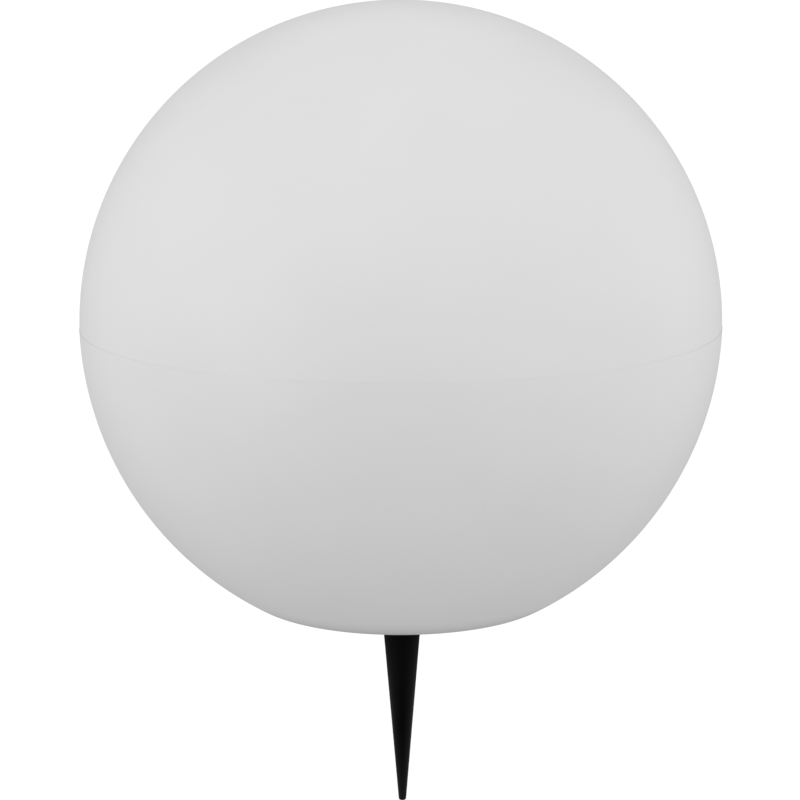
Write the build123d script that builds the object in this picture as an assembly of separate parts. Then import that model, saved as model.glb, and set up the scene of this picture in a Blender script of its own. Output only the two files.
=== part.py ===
from build123d import *
import math
import os

# A round solar garden lamp: an opal globe in two halves, a base unit in its underside, a ground spike.
# Millimetres, +Z up. The origin is on the lamp's axis at the ground line, level with the globe's flat foot.
# The front looks towards -Y, and the solar panel looks up and back, towards +Y.

# Globe shell
GLOBE_RADIUS = 250.0
SHELL_WALL = 2.5
FOOT_RADIUS = 106.0  # where the bowl's curve would meet the ground without its rounded corner
FOOT_FILLET = 52.0
BOWL_DRAW_IN = 1.5  # how far the bowl's curve lies inside the sphere, half way round
SEAM_DROP = 2.0  # straight skirt of the dome below its centre
SEAM_STEP = 0.2  # the bowl's rim stands out this far from the dome's edge

# Lap joint between the halves
LAP_HEIGHT = 12.0
LAP_WALL = 3.0
LAP_CLEARANCE = 0.2
LAP_END_GAP = 0.5
SHOULDER_HEIGHT = 5.0
SHOULDER_RAMP = 6.0
SEAL_RISE = 1.6
SEAL_HEIGHT = 2.2
SEAL_GROOVE_DEPTH = 1.2
SNAP_RISE = 8.0
SNAP_HEIGHT = 0.8
SNAP_WIDTH = 2.4
SNAP_CLEARANCE = 0.2

# Solar panel
PANEL_TILT = 45.0  # degrees above level
PANEL_RADIUS = 60.0
PANEL_CLEARANCE = 0.3
TRAY_RIM = 3.6
TRAY_FLOOR = 2.0
BACKSHEET_THICKNESS = 1.2
WAFER_THICKNESS = 0.4
COVER_SHEET_THICKNESS = 2.0
PANEL_GASKET_THICKNESS = 1.0
PANEL_GASKET_WIDTH = 9.0
PANEL_BOSS_CIRCLE = 38.0
PANEL_BOSS_RADIUS = 4.0
PANEL_BOSS_COUNT = 4
PANEL_BOSS_SHORT = 0.2  # the bosses end this far inside the seat's floor
PANEL_WASHER_RADIUS = 7.0
PANEL_WASHER_THICKNESS = 1.0
WAFER_LENGTH = 35.0
WAFER_WIDTH = 18.0
WAFER_GAP = 1.0
WAFER_COLUMNS = 2
WAFER_ROWS = 4

# Lead from the panel to the base
LEAD_RADIUS = 2.0
LEAD_CLEARANCE = 0.1
LEAD_STUB = 5.0  # straight stretch behind the panel's seat
LEAD_BEND = 12.0
LEAD_SWEEP = 120.0  # radius that brings the lead to the wall
LEAD_TURN = 60.0  # radius that takes it off the wall to the base
LEAD_WALL_GAP = 1.0  # between the lead and the lap joint's inner face
CLIP_ANGLES = (14.0, 26.0, 38.0)  # degrees below level
CLIP_LENGTH = 8.0
CLIP_WIDTH = 14.0
CLIP_WALL = 1.5
GROMMET_NECK_RADIUS = 4.5
GROMMET_FLANGE_RADIUS = 7.0
GROMMET_FLANGE = 2.0
GROMMET_THIN_FLANGE = 0.8
SEAT_GAP = 0.05  # left between curved faces that seat on each other

# Base unit
CUP_RADIUS = 66.0
CUP_WALL = 2.5
FLANGE_WIDTH = 16.0  # beyond the cup
FLANGE_LIFT = 1.0  # the flange's face stands this far above the ground
FLANGE_THICKNESS = 4.0
FLANGE_EDGE = 1.0
BASE_CLEARANCE = 0.5
BASE_GASKET_THICKNESS = 1.0
BASE_SCREW_COUNT = 6
BASE_SCREW_LENGTH = 14.0
RIB_THICKNESS = 2.0
RIB_HEIGHT = 12.0
RIB_ANGLES = (0.0, 45.0, 135.0, 180.0)
POST_RADIUS = 3.5
POST_SINK = 1.0  # how far the deck's posts run into the cup's wall
POST_ANGLES = (0.0, 180.0, 270.0)
DECK_GAP = 5.5

# Screws
SCREW_HEAD_RADIUS = 3.0
SCREW_HEAD_HEIGHT = 1.8
SCREW_SHANK_RADIUS = 1.45
SCREW_CLEARANCE = 0.35
SCREW_SINK = 0.2
SCREW_END_GAP = 1.0
SCREW_BOSS_WALL = 2.4
CROSS_LENGTH = 3.2
CROSS_WIDTH = 0.8
CROSS_DEPTH = 0.9

# Spike
SPIKE_RADIUS = 16.35
SPIKE_TIP_RADIUS = 2.85
SPIKE_LENGTH = 161.5
SPIKE_TIP_FILLET = 1.8
SPIKE_WALL = 3.5
SPIKE_SOLID_TIP = 50.0
NECK_RADIUS = 11.0
NECK_LENGTH = 44.0
NECK_WALL = 3.2
NECK_CHAMFER = 1.5
KEY_WIDTH = 4.0
KEY_HEIGHT = 1.2
KEY_END = 6.0  # the keys stop this far below the neck's top
SOCKET_CLEARANCE = 0.2
SOCKET_END_GAP = 1.0
SOCKET_WALL = 3.6
SOCKET_BOSS_WALL = 2.0  # rim of the socket's boss outside the spike's shoulder

# Battery bay
CELL_DIAMETER = 14.3
CELL_BODY = 49.3
CELL_NUB = 1.2
CELL_NUB_RADIUS = 2.75
CELL_EDGE = 0.8
CELL_CLEARANCE = 0.4
CELL_COUNT = 2
CONTACT_THICKNESS = 0.5
CONTACT_WIDTH = 10.0
CONTACT_HEIGHT = 11.0
CONTACT_GAP = 0.1
DIMPLE_HEIGHT = 0.8
DIMPLE_RADIUS = 2.0
LEAF_REACH = 3.6
TAIL_WIDTH = 3.0
TAIL_RISE = 3.0  # solder tail above the bay
BAY_WALL = 2.0
BAY_BOSS_GAP = 1.0
COVER_THICKNESS = 3.0
COVER_LEDGE = 4.0
COVER_EAR = 10.5
COVER_CORNER = 10.0
COVER_CLEARANCE = 0.3
COVER_EDGE = 0.5
COVER_SEAL_THICKNESS = 1.0
COVER_SEAL_WIDTH = 2.0
COVER_SCREW_LENGTH = 9.0
PAD_LEDGE = 3.0

# Button and switch
BUTTON_RADIUS = 8.5
BUTTON_SINK = 0.5
BUTTON_CAP = 3.0
BUTTON_EDGE = 0.8
BUTTON_TRAVEL = 2.0
BUTTON_CLEARANCE = 0.3
STEM_RADIUS = 3.5
STEM_CLEARANCE = 0.15
STEM_END = 1.2
GUIDE_LENGTH = 8.0
GUIDE_WALL = 2.4
RING_SECTION = 0.9  # section radius of the button's sealing ring
RING_GROOVE_GAP = 0.15
CLIP_RING_RADIUS = 6.0
CLIP_RING_THICKNESS = 0.8
CLIP_RING_GAP = 0.2
CLIP_GROOVE_DEPTH = 0.8
CLIP_RING_MOUTH = 4.5
PLUNGER_RADIUS = 1.6
PLUNGER_EXPOSED = 4.7
PLUNGER_ENGAGED = 3.0
SWITCH_SIDE = 12.0
SWITCH_HEIGHT = 8.0

# Circuit board
BOARD_LENGTH = 64.0
BOARD_WIDTH = 32.0
BOARD_THICKNESS = 1.6
BOARD_SOCKET_GAP = 4.0
BOARD_CORNER = 2.0
BOARD_SCREW_INSET = 4.5
BOARD_SCREW_LENGTH = 8.0
BOARD_HOLE_CLEARANCE = 0.3
CONTROLLER_SIZE = (6.0, 5.0, 1.6)
CONTROLLER_PLACE = (-15.0, -4.0)  # from the board's centre
COIL_RADIUS = 4.5
COIL_WAIST = 3.4
COIL_HEIGHT = 6.0
COIL_RIM = 1.2
COIL_PLACE = (15.0, -5.0)
CAPACITOR_RADIUS = 4.0
CAPACITOR_HEIGHT = 9.0
CAPACITOR_EDGE = 0.8
CAPACITOR_PLACE = (15.0, 8.0)
CONNECTOR_SIZE = (8.0, 7.0, 6.0)
CONNECTOR_INSET = 2.0  # from the board's rear edge

# Light source
DECK_THICKNESS = 3.0
DECK_LIP_HEIGHT = 3.0
DECK_LIP_WALL = 2.0
DECK_LIP_CLEARANCE = 0.3
DECK_SCREW_LENGTH = 12.0
LED_BOARD_RADIUS = 24.0
LED_BOARD_THICKNESS = 1.6
LED_SCREW_CIRCLE = 19.5
LED_SCREW_COUNT = 2
LED_SCREW_LENGTH = 8.0
LED_COUNT = 6
LED_CIRCLE = 12.0
LED_SIZE = (3.5, 2.8, 0.8)
DIFFUSER_RADIUS = 36.0
DIFFUSER_HEIGHT = 22.0
DIFFUSER_WALL = 1.6
DIFFUSER_SEAT = 1.2
DIFFUSER_CLEARANCE = 0.2

# Inner wires
WIRE_RADIUS = 0.7
WIRE_BEND = 5.0
LED_WIRE_SPACING = 3.0
LED_WIRE_PASSAGE = 4.0
LED_WIRE_BEND = 2.0
LED_WIRE_OUTSET = 4.0  # from the light board's rim to the wires' hole
LED_WIRE_LANDING = 3.0  # how far the wires lie on the light board
BATTERY_WIRE_RISE = 7.0  # above the circuit board
BATTERY_WIRE_STEP = 5.0  # the second wire runs this much higher and lands this much further back

# Heights and places of the globe
CENTRE_Z = math.sqrt(GLOBE_RADIUS**2 - FOOT_RADIUS**2)
SEAM_Z = CENTRE_Z - SEAM_DROP
LAP_TOP = SEAM_Z + LAP_HEIGHT
LAP_RADIUS = GLOBE_RADIUS - SHELL_WALL
SPIGOT_RADIUS = LAP_RADIUS - LAP_CLEARANCE
SPIGOT_INNER = SPIGOT_RADIUS - LAP_WALL

# Places of the solar panel, measured along its own axis from its outer face
POCKET_RADIUS = PANEL_RADIUS + PANEL_CLEARANCE
FACET = math.sqrt(GLOBE_RADIUS**2 - POCKET_RADIUS**2)
WAFER_FLOOR = -COVER_SHEET_THICKNESS - WAFER_THICKNESS
BACKSHEET_FLOOR = WAFER_FLOOR - BACKSHEET_THICKNESS
TRAY_DEPTH = -BACKSHEET_FLOOR + TRAY_FLOOR
POCKET_DEPTH = TRAY_DEPTH + PANEL_GASKET_THICKNESS
SEAT_DEPTH = POCKET_DEPTH + SHELL_WALL
COVER_SHEET_RADIUS = PANEL_RADIUS - TRAY_RIM
PANEL_COS = math.cos(math.radians(PANEL_TILT))
PANEL_SIN = math.sin(math.radians(PANEL_TILT))
PANEL = Plane(
    origin=(0, FACET * PANEL_COS, CENTRE_Z + FACET * PANEL_SIN),
    x_dir=(1, 0, 0),
    z_dir=(0, PANEL_COS, PANEL_SIN),
)

# Heights and places of the base unit
FLANGE_TOP = FLANGE_LIFT + FLANGE_THICKNESS
FLANGE_RADIUS = CUP_RADIUS + FLANGE_WIDTH
RECESS_DEPTH = FLANGE_TOP + BASE_GASKET_THICKNESS
RECESS_RADIUS = FLANGE_RADIUS + BASE_CLEARANCE
OPENING_RADIUS = CUP_RADIUS + BASE_CLEARANCE
CUP_INNER = CUP_RADIUS - CUP_WALL
PILOT_RADIUS = SCREW_SHANK_RADIUS + SEAT_GAP
SCREW_BOSS_RADIUS = PILOT_RADIUS + SCREW_BOSS_WALL
HEAD_HOLE_RADIUS = SCREW_HEAD_RADIUS + SCREW_CLEARANCE
HEAD_HOLE_DEPTH = SCREW_HEAD_HEIGHT + SCREW_SINK
BASE_SCREW_CIRCLE = CUP_RADIUS + FLANGE_WIDTH / 2
BASE_SCREW_SEAT = FLANGE_LIFT + HEAD_HOLE_DEPTH
BORE_RADIUS = NECK_RADIUS + SOCKET_CLEARANCE
BORE_TOP = NECK_LENGTH + SOCKET_END_GAP
SOCKET_RADIUS = BORE_RADIUS + SOCKET_WALL
SOCKET_TOP = BORE_TOP + SOCKET_WALL
SOCKET_BOSS_RADIUS = SPIKE_RADIUS + SOCKET_BOSS_WALL
POST_CIRCLE = CUP_INNER - POST_RADIUS + POST_SINK

# Places of the battery bay
CELL_RADIUS = CELL_DIAMETER / 2
CELL_LENGTH = CELL_BODY + CELL_NUB
PLUS_GAP = CONTACT_THICKNESS + DIMPLE_HEIGHT + CONTACT_GAP
MINUS_GAP = CONTACT_THICKNESS + LEAF_REACH + CONTACT_GAP
BAY_LENGTH = CELL_LENGTH + PLUS_GAP + MINUS_GAP
BAY_END = BAY_LENGTH / 2
CELL_PITCH = CELL_DIAMETER + CELL_CLEARANCE
BAY_WIDTH = CELL_COUNT * CELL_PITCH + CELL_CLEARANCE
BAY_NEAR = -(SOCKET_BOSS_RADIUS + BAY_BOSS_GAP + COVER_LEDGE)
BAY_FAR = BAY_NEAR - BAY_WIDTH
BAY_Y = (BAY_NEAR + BAY_FAR) / 2
COVER_TOP = FLANGE_LIFT + COVER_THICKNESS
REBATE_TOP = COVER_TOP + COVER_SEAL_THICKNESS
PAD_TOP = REBATE_TOP + PAD_LEDGE
CELL_Z = COVER_TOP + CELL_CLEARANCE + CELL_RADIUS
BAY_CEILING = CELL_Z + CELL_RADIUS + CELL_CLEARANCE
BAY_TOP = BAY_CEILING + BAY_WALL
COVER_LENGTH = BAY_LENGTH + 2 * COVER_EAR
COVER_WIDTH = BAY_WIDTH + 2 * COVER_LEDGE
COVER_SCREW_X = BAY_END + COVER_EAR / 2
COVER_SCREW_SEAT = FLANGE_LIFT + HEAD_HOLE_DEPTH
CELL_PLACES = [BAY_NEAR - CELL_CLEARANCE - CELL_RADIUS - CELL_PITCH * i for i in range(CELL_COUNT)]
TAIL_TOP = BAY_TOP + TAIL_RISE

# Heights of the button, the switch and the circuit board
BUTTON_FACE = FLANGE_LIFT + BUTTON_SINK
CAP_TOP = BUTTON_FACE + BUTTON_CAP
GUIDE_STEP = CAP_TOP + BUTTON_TRAVEL + BUTTON_CLEARANCE
GUIDE_TOP = GUIDE_STEP + GUIDE_LENGTH
RING_Z = GUIDE_STEP + GUIDE_LENGTH / 2
CLIP_RING_Z = GUIDE_TOP + CLIP_RING_GAP
STEM_TOP = CLIP_RING_Z + CLIP_RING_THICKNESS + STEM_END
SWITCH_Z = STEM_TOP + PLUNGER_EXPOSED
BOARD_Z = SWITCH_Z + SWITCH_HEIGHT
BOARD_TOP = BOARD_Z + BOARD_THICKNESS
BOARD_Y = SOCKET_RADIUS + BOARD_SOCKET_GAP + BOARD_WIDTH / 2
BOARD_REAR = BOARD_Y + BOARD_WIDTH / 2
BUTTON_Y = BOARD_Y
CONNECTOR_Y = BOARD_REAR - CONNECTOR_INSET
BOARD_SCREW_X = BOARD_LENGTH / 2 - BOARD_SCREW_INSET
BOARD_SCREW_Y = BOARD_WIDTH / 2 - BOARD_SCREW_INSET
BOARD_SCREW_PLACES = [
    (x, BOARD_Y + y) for x in (-BOARD_SCREW_X, BOARD_SCREW_X) for y in (-BOARD_SCREW_Y, BOARD_SCREW_Y)
]

# Heights of the light source
CUP_TOP = max(SOCKET_TOP, BOARD_TOP + CAPACITOR_HEIGHT) + DECK_GAP
DECK_TOP = CUP_TOP + DECK_THICKNESS
LED_BOARD_TOP = DECK_TOP + LED_BOARD_THICKNESS
LED_BOSS_DEPTH = LED_SCREW_LENGTH - LED_BOARD_THICKNESS - DECK_THICKNESS + SCREW_END_GAP
LED_WIRE_Y = LED_BOARD_RADIUS + LED_WIRE_OUTSET

# Route of the panel's lead in the upright plane through the panel, from the globe's centre
LEAD_Z = BOARD_TOP + CONNECTOR_SIZE[2] / 2
LEAD_LINE = FACET - SEAT_DEPTH - LEAD_STUB - LEAD_BEND
LEAD_WALL = SPIGOT_INNER - LEAD_WALL_GAP - LEAD_RADIUS
LEAD_LEVEL = CENTRE_Z - LEAD_Z
LEAD_BORE = LEAD_RADIUS + LEAD_CLEARANCE


def disc(radius, low, high):
    """Upright cylinder between two heights."""
    return Pos(0, 0, low) * Cylinder(radius, high - low, align=(Align.CENTER, Align.CENTER, Align.MIN))


def tube(outer, inner, low, high):
    """Upright ring between two heights."""
    return disc(outer, low, high) - disc(inner, low, high)


def block(length, width, low, high):
    """Upright box on the axis between two heights."""
    return Pos(0, 0, low) * Box(length, width, high - low, align=(Align.CENTER, Align.CENTER, Align.MIN))


def plate(length, width, corner, low, high):
    """Flat plate with rounded corners between two heights."""
    return Pos(0, 0, low) * extrude(RectangleRounded(length, width, corner), high - low)


def turned(*points):
    """Solid of revolution about the axis from a closed half section of (radius, height) points."""
    return revolve(Plane.XZ * make_face(Polyline(*points, close=True)), Axis.Z)


def at_polar(radius, angles, shape):
    """Copies of a shape at the given angles on a circle about the axis."""
    return [Rot(0, 0, angle) * Pos(radius, 0, 0) * shape for angle in angles]


def even_angles(count):
    """Angles that share a full turn evenly."""
    return [360 / count * i for i in range(count)]


def screw(length, cross=False):
    """Pan head screw, its head's underside at height 0 and its shank pointing down."""
    head_edge = SCREW_HEAD_HEIGHT / 2
    head = disc(SCREW_HEAD_RADIUS, 0, SCREW_HEAD_HEIGHT)
    head = fillet(head.edges().sort_by(Axis.Z)[-1], head_edge)
    tip = SCREW_SHANK_RADIUS
    shank = turned(
        (0, 0),
        (SCREW_SHANK_RADIUS, 0),
        (SCREW_SHANK_RADIUS, tip - length),
        (0, -length),
    )
    body = head + shank
    if cross:
        floor = SCREW_HEAD_HEIGHT - CROSS_DEPTH
        body -= block(CROSS_LENGTH, CROSS_WIDTH, floor, SCREW_HEAD_HEIGHT)
        body -= block(CROSS_WIDTH, CROSS_LENGTH, floor, SCREW_HEAD_HEIGHT)
    return body


def pilot(length):
    """Blind hole for a screw's shank, from height 0 down past its tip."""
    return disc(PILOT_RADIUS, -length - SCREW_END_GAP / 2, 0)


def point_at(radius, angle, centre=(0.0, 0.0)):
    """Point at a radius and an angle in degrees from a centre, in a plane."""
    turn = math.radians(angle)
    return (centre[0] + radius * math.cos(turn), centre[1] + radius * math.sin(turn))


def bowl_curve():
    """Outer curve of the bowl's half section: one arc, drawn in from the sphere half way round."""
    rim = (GLOBE_RADIUS + SEAM_STEP, SEAM_Z)
    foot = (FOOT_RADIUS, 0)
    low = -math.degrees(math.atan2(CENTRE_Z, FOOT_RADIUS))
    middle = point_at(GLOBE_RADIUS - BOWL_DRAW_IN, low / 2, (0, CENTRE_Z))
    return ThreePointArc(foot, middle, rim)


BOWL_CURVE = bowl_curve()


def bowl_section(inset):
    """Half section inside the bowl's outer face, moved in by inset, from the axis to the seam."""
    centre = BOWL_CURVE.arc_center
    radius = BOWL_CURVE.radius - inset
    foot = (centre.X + math.sqrt(radius**2 - (inset - centre.Y) ** 2), inset)
    rim = (centre.X + math.sqrt(radius**2 - (SEAM_Z - centre.Y) ** 2), SEAM_Z)
    low = math.degrees(math.atan2(foot[1] - centre.Y, foot[0] - centre.X))
    high = math.degrees(math.atan2(rim[1] - centre.Y, rim[0] - centre.X))
    middle = point_at(radius, (low + high) / 2, (centre.X, centre.Y))
    edges = Polyline(rim, (0, SEAM_Z), (0, inset), foot) + ThreePointArc(foot, middle, rim)
    section = make_face(edges)
    corner = section.vertices().sort_by_distance((foot[0], foot[1], 0))[0]
    return fillet(corner, FOOT_FILLET - inset)


def dome_section():
    """Half section of the dome's wall: two concentric arcs, a straight skirt and the lap's land."""
    inner = GLOBE_RADIUS - SHELL_WALL
    centre = (0, CENTRE_Z)
    land_top = LAP_TOP + LAP_END_GAP
    land_angle = math.degrees(math.asin((land_top - CENTRE_Z) / inner))
    land = point_at(inner, land_angle, centre)
    outer_arc = ThreePointArc(
        (GLOBE_RADIUS, CENTRE_Z), point_at(GLOBE_RADIUS, 45, centre), (0, CENTRE_Z + GLOBE_RADIUS)
    )
    inner_arc = ThreePointArc(
        (0, CENTRE_Z + inner), point_at(inner, (90 + land_angle) / 2, centre), land
    )
    edges = outer_arc + Line((0, CENTRE_Z + GLOBE_RADIUS), (0, CENTRE_Z + inner)) + inner_arc
    edges += Polyline(
        land, (LAP_RADIUS, land_top), (LAP_RADIUS, SEAM_Z), (GLOBE_RADIUS, SEAM_Z), (GLOBE_RADIUS, CENTRE_Z)
    )
    return make_face(edges)


def snap_ring(spare):
    """Bead of the snap fit, or with spare room around it the groove that takes it."""
    height = SEAM_Z + SNAP_RISE
    half = SNAP_WIDTH / 2 + spare
    return turned(
        (SPIGOT_RADIUS - SNAP_HEIGHT, height - half),
        (SPIGOT_RADIUS, height - half),
        (SPIGOT_RADIUS + SNAP_HEIGHT + spare, height),
        (SPIGOT_RADIUS, height + half),
        (SPIGOT_RADIUS - SNAP_HEIGHT, height + half),
    )


def panel_seat_holes():
    """Holes through the floor of the panel's seat: the lead's, and one for each of the tray's bosses."""
    low = -SEAT_DEPTH - SHELL_WALL
    holes = disc(GROMMET_NECK_RADIUS + SEAT_GAP, low, 0)
    boss_hole = disc(PANEL_BOSS_RADIUS + PANEL_CLEARANCE, low, 0)
    for hole in at_polar(PANEL_BOSS_CIRCLE, even_angles(PANEL_BOSS_COUNT), boss_hole):
        holes += hole
    return holes


def upper_dome():
    """Upper half of the globe, with the panel's round seat sunk into its back."""
    shell = revolve(Plane.XZ * dome_section(), Axis.Z) - snap_ring(SNAP_CLEARANCE)
    seat = PANEL * disc(POCKET_RADIUS + SHELL_WALL, -SEAT_DEPTH, GLOBE_RADIUS - FACET)
    seat &= Pos(0, 0, CENTRE_Z) * Sphere(GLOBE_RADIUS - SHELL_WALL / 2)
    pocket = disc(POCKET_RADIUS, -POCKET_DEPTH, GLOBE_RADIUS - FACET + SHELL_WALL)
    return shell + seat - PANEL * (pocket + panel_seat_holes())


def lower_bowl():
    """Lower half of the globe, with the lap's spigot at its rim and the base unit's seat in its foot."""
    shell = revolve(Plane.XZ * bowl_section(0), Axis.Z)
    shell -= revolve(Plane.XZ * bowl_section(SHELL_WALL), Axis.Z)
    wall_middle = GLOBE_RADIUS + SEAM_STEP - SHELL_WALL / 2
    shoulder = SEAM_Z - SHOULDER_HEIGHT
    rim = turned(
        (SPIGOT_RADIUS, LAP_TOP),
        (SPIGOT_INNER, LAP_TOP),
        (SPIGOT_INNER, shoulder),
        (wall_middle, shoulder - SHOULDER_RAMP),
        (wall_middle, SEAM_Z),
        (SPIGOT_RADIUS, SEAM_Z),
    )
    groove_low = SEAM_Z + SEAL_RISE
    groove = tube(LAP_RADIUS, SPIGOT_RADIUS - SEAL_GROOVE_DEPTH, groove_low, groove_low + SEAL_HEIGHT)
    ledge_top = RECESS_DEPTH + SHELL_WALL
    foot = disc(RECESS_RADIUS + SHELL_WALL, 0, ledge_top)
    boss = disc(SCREW_BOSS_RADIUS, RECESS_DEPTH, BASE_SCREW_SEAT + BASE_SCREW_LENGTH + SCREW_BOSS_WALL)
    bowl = shell + rim + snap_ring(0) - groove + foot
    for place in at_polar(BASE_SCREW_CIRCLE, even_angles(BASE_SCREW_COUNT), boss):
        bowl += place
    bowl -= disc(RECESS_RADIUS, 0, RECESS_DEPTH)
    bowl -= disc(OPENING_RADIUS, 0, ledge_top)
    hole = Pos(0, 0, BASE_SCREW_SEAT) * Rot(180, 0, 0) * pilot(BASE_SCREW_LENGTH)
    for place in at_polar(BASE_SCREW_CIRCLE, even_angles(BASE_SCREW_COUNT), hole):
        bowl -= place
    return bowl


def seam_seal():
    """Seal in the spigot's groove."""
    low = SEAM_Z + SEAL_RISE
    return tube(LAP_RADIUS - SEAT_GAP, SPIGOT_RADIUS - SEAL_GROOVE_DEPTH, low, low + SEAL_HEIGHT)


def solar_tray():
    """Round black tray that carries the panel, with bosses through the dome's seat."""
    tray = disc(PANEL_RADIUS, -TRAY_DEPTH, 0)
    tray -= disc(COVER_SHEET_RADIUS, BACKSHEET_FLOOR, 0)
    tray -= disc(LEAD_BORE, -TRAY_DEPTH, 0)
    boss = disc(PANEL_BOSS_RADIUS, PANEL_BOSS_SHORT - SEAT_DEPTH, -TRAY_DEPTH)
    hole = disc(PILOT_RADIUS, -SEAT_DEPTH, -TRAY_DEPTH + TRAY_FLOOR / 2)
    angles = even_angles(PANEL_BOSS_COUNT)
    for place in at_polar(PANEL_BOSS_CIRCLE, angles, boss):
        tray += place
    for place in at_polar(PANEL_BOSS_CIRCLE, angles, hole):
        tray -= place
    return PANEL * tray


def solar_gasket():
    """Flat gasket between the tray and the floor of its seat."""
    return PANEL * tube(PANEL_RADIUS, PANEL_RADIUS - PANEL_GASKET_WIDTH, -POCKET_DEPTH, -TRAY_DEPTH)


def solar_backsheet():
    """Board behind the wafers."""
    return PANEL * disc(COVER_SHEET_RADIUS - SEAT_GAP, BACKSHEET_FLOOR, WAFER_FLOOR)


def solar_cells():
    """Silicon wafers in even rows and columns."""
    wafer = block(WAFER_LENGTH, WAFER_WIDTH, WAFER_FLOOR, -COVER_SHEET_THICKNESS)
    grid = GridLocations(WAFER_LENGTH + WAFER_GAP, WAFER_WIDTH + WAFER_GAP, WAFER_COLUMNS, WAFER_ROWS)
    return Compound([PANEL * (place * wafer) for place in grid])


def solar_cover():
    """Clear sheet over the wafers, level with the tray's rim."""
    return PANEL * disc(COVER_SHEET_RADIUS - SEAT_GAP, -COVER_SHEET_THICKNESS, 0)


def at_panel_bosses(shape):
    """Copies of a shape on the panel's axis, one at each of the tray's bosses."""
    places = at_polar(PANEL_BOSS_CIRCLE, even_angles(PANEL_BOSS_COUNT), shape)
    return Compound([PANEL * place for place in places])


def solar_washers():
    """Washers under the panel's screws, wide enough to bear on the floor of its seat."""
    hole = SCREW_SHANK_RADIUS + SCREW_CLEARANCE
    low = -SEAT_DEPTH - PANEL_WASHER_THICKNESS
    return at_panel_bosses(tube(PANEL_WASHER_RADIUS, hole, low, -SEAT_DEPTH))


def solar_screws():
    """Screws from inside the globe, through their washers, into the tray's bosses."""
    head_seat = SEAT_DEPTH + PANEL_WASHER_THICKNESS
    length = head_seat - TRAY_DEPTH + (TRAY_FLOOR - SCREW_END_GAP) / 2
    return at_panel_bosses(Pos(0, 0, -head_seat) * Rot(180, 0, 0) * screw(length))


def panel_grommet():
    """Rubber grommet in the floor of the panel's seat."""
    floor = -POCKET_DEPTH
    body = disc(GROMMET_FLANGE_RADIUS, floor, floor + GROMMET_THIN_FLANGE)
    body += disc(GROMMET_NECK_RADIUS, -SEAT_DEPTH, floor)
    body += disc(GROMMET_FLANGE_RADIUS, -SEAT_DEPTH - GROMMET_FLANGE, -SEAT_DEPTH)
    return PANEL * (body - disc(LEAD_BORE, -SEAT_DEPTH - GROMMET_FLANGE, 0))


def lead_route():
    """Route of the panel's lead: off the panel's back, down the wall, and level into the base unit."""
    out = point_at(1, PANEL_TILT)
    down = point_at(1, PANEL_TILT - 90)

    def place(outwards, downwards):
        return (out[0] * outwards + down[0] * downwards, out[1] * outwards + down[1] * downwards)

    bend_top = LEAD_LINE + LEAD_BEND
    sweep_down = math.sqrt((LEAD_WALL - LEAD_SWEEP) ** 2 - (LEAD_LINE - LEAD_SWEEP) ** 2)
    sweep_turn = math.degrees(math.atan2(sweep_down, LEAD_LINE - LEAD_SWEEP))
    wall_start = PANEL_TILT - sweep_turn
    wall_end = -math.degrees(math.asin((LEAD_LEVEL - LEAD_TURN) / (LEAD_WALL - LEAD_TURN)))
    turn_centre = point_at(LEAD_WALL - LEAD_TURN, wall_end)
    route = Line(place(FACET + BACKSHEET_FLOOR, 0), place(bend_top, 0))
    route += CenterArc(place(bend_top, LEAD_BEND), LEAD_BEND, PANEL_TILT + 90, 90)
    route += Line(place(LEAD_LINE, LEAD_BEND), place(LEAD_LINE, sweep_down))
    route += CenterArc(place(LEAD_LINE - LEAD_SWEEP, sweep_down), LEAD_SWEEP, PANEL_TILT, -sweep_turn)
    route += CenterArc((0, 0), LEAD_WALL, wall_start, wall_end - wall_start)
    route += CenterArc(turn_centre, LEAD_TURN, wall_end, -90 - wall_end)
    route += Line((turn_centre[0], -LEAD_LEVEL), (CONNECTOR_Y, -LEAD_LEVEL))
    return Pos(0, 0, CENTRE_Z) * (Plane.YZ * route)


def panel_lead():
    """Round two-core lead from the panel to the circuit board."""
    start = PANEL * Pos(0, 0, BACKSHEET_FLOOR) * Circle(LEAD_RADIUS)
    return sweep(start, path=Wire(lead_route().edges()))


def lead_clips():
    """Saddles that hold the lead to the bowl's inner wall."""
    wall = revolve(Plane.XZ * bowl_section(SHELL_WALL + SEAT_GAP), Axis.Z)
    saddle_top = LEAD_WALL - LEAD_RADIUS - CLIP_WALL
    saddle = Pos(saddle_top, 0, 0) * Box(
        GLOBE_RADIUS - saddle_top, CLIP_WIDTH, CLIP_LENGTH, align=(Align.MIN, Align.CENTER, Align.CENTER)
    )
    passage = Pos(0, 0, CENTRE_Z) * Rot(0, 90, 0) * Torus(LEAD_WALL, LEAD_BORE)
    clips = []
    for angle in CLIP_ANGLES:
        clip = Pos(0, 0, CENTRE_Z) * Rot(0, 0, 90) * Rot(0, angle, 0) * saddle
        clips.append((clip & wall) - passage)
    return Compound(clips)


def base_grommet():
    """Rubber grommet where the lead enters the cup."""
    inner_face = math.sqrt(CUP_INNER**2 - GROMMET_FLANGE_RADIUS**2) - SEAT_GAP
    outer_face = CUP_RADIUS + SEAT_GAP
    body = disc(GROMMET_FLANGE_RADIUS, inner_face - GROMMET_FLANGE, inner_face)
    body += disc(GROMMET_NECK_RADIUS, inner_face, outer_face)
    body += disc(GROMMET_FLANGE_RADIUS, outer_face, outer_face + GROMMET_FLANGE)
    body -= disc(LEAD_BORE, inner_face - GROMMET_FLANGE, outer_face + GROMMET_FLANGE)
    return Pos(0, 0, LEAD_Z) * Rot(-90, 0, 0) * body


def bay_outline(margin, low, high):
    """Box around the battery bay's inside, wider by a margin on every side."""
    return Pos(0, BAY_Y, 0) * block(BAY_LENGTH + 2 * margin, BAY_WIDTH + 2 * margin, low, high)


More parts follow.
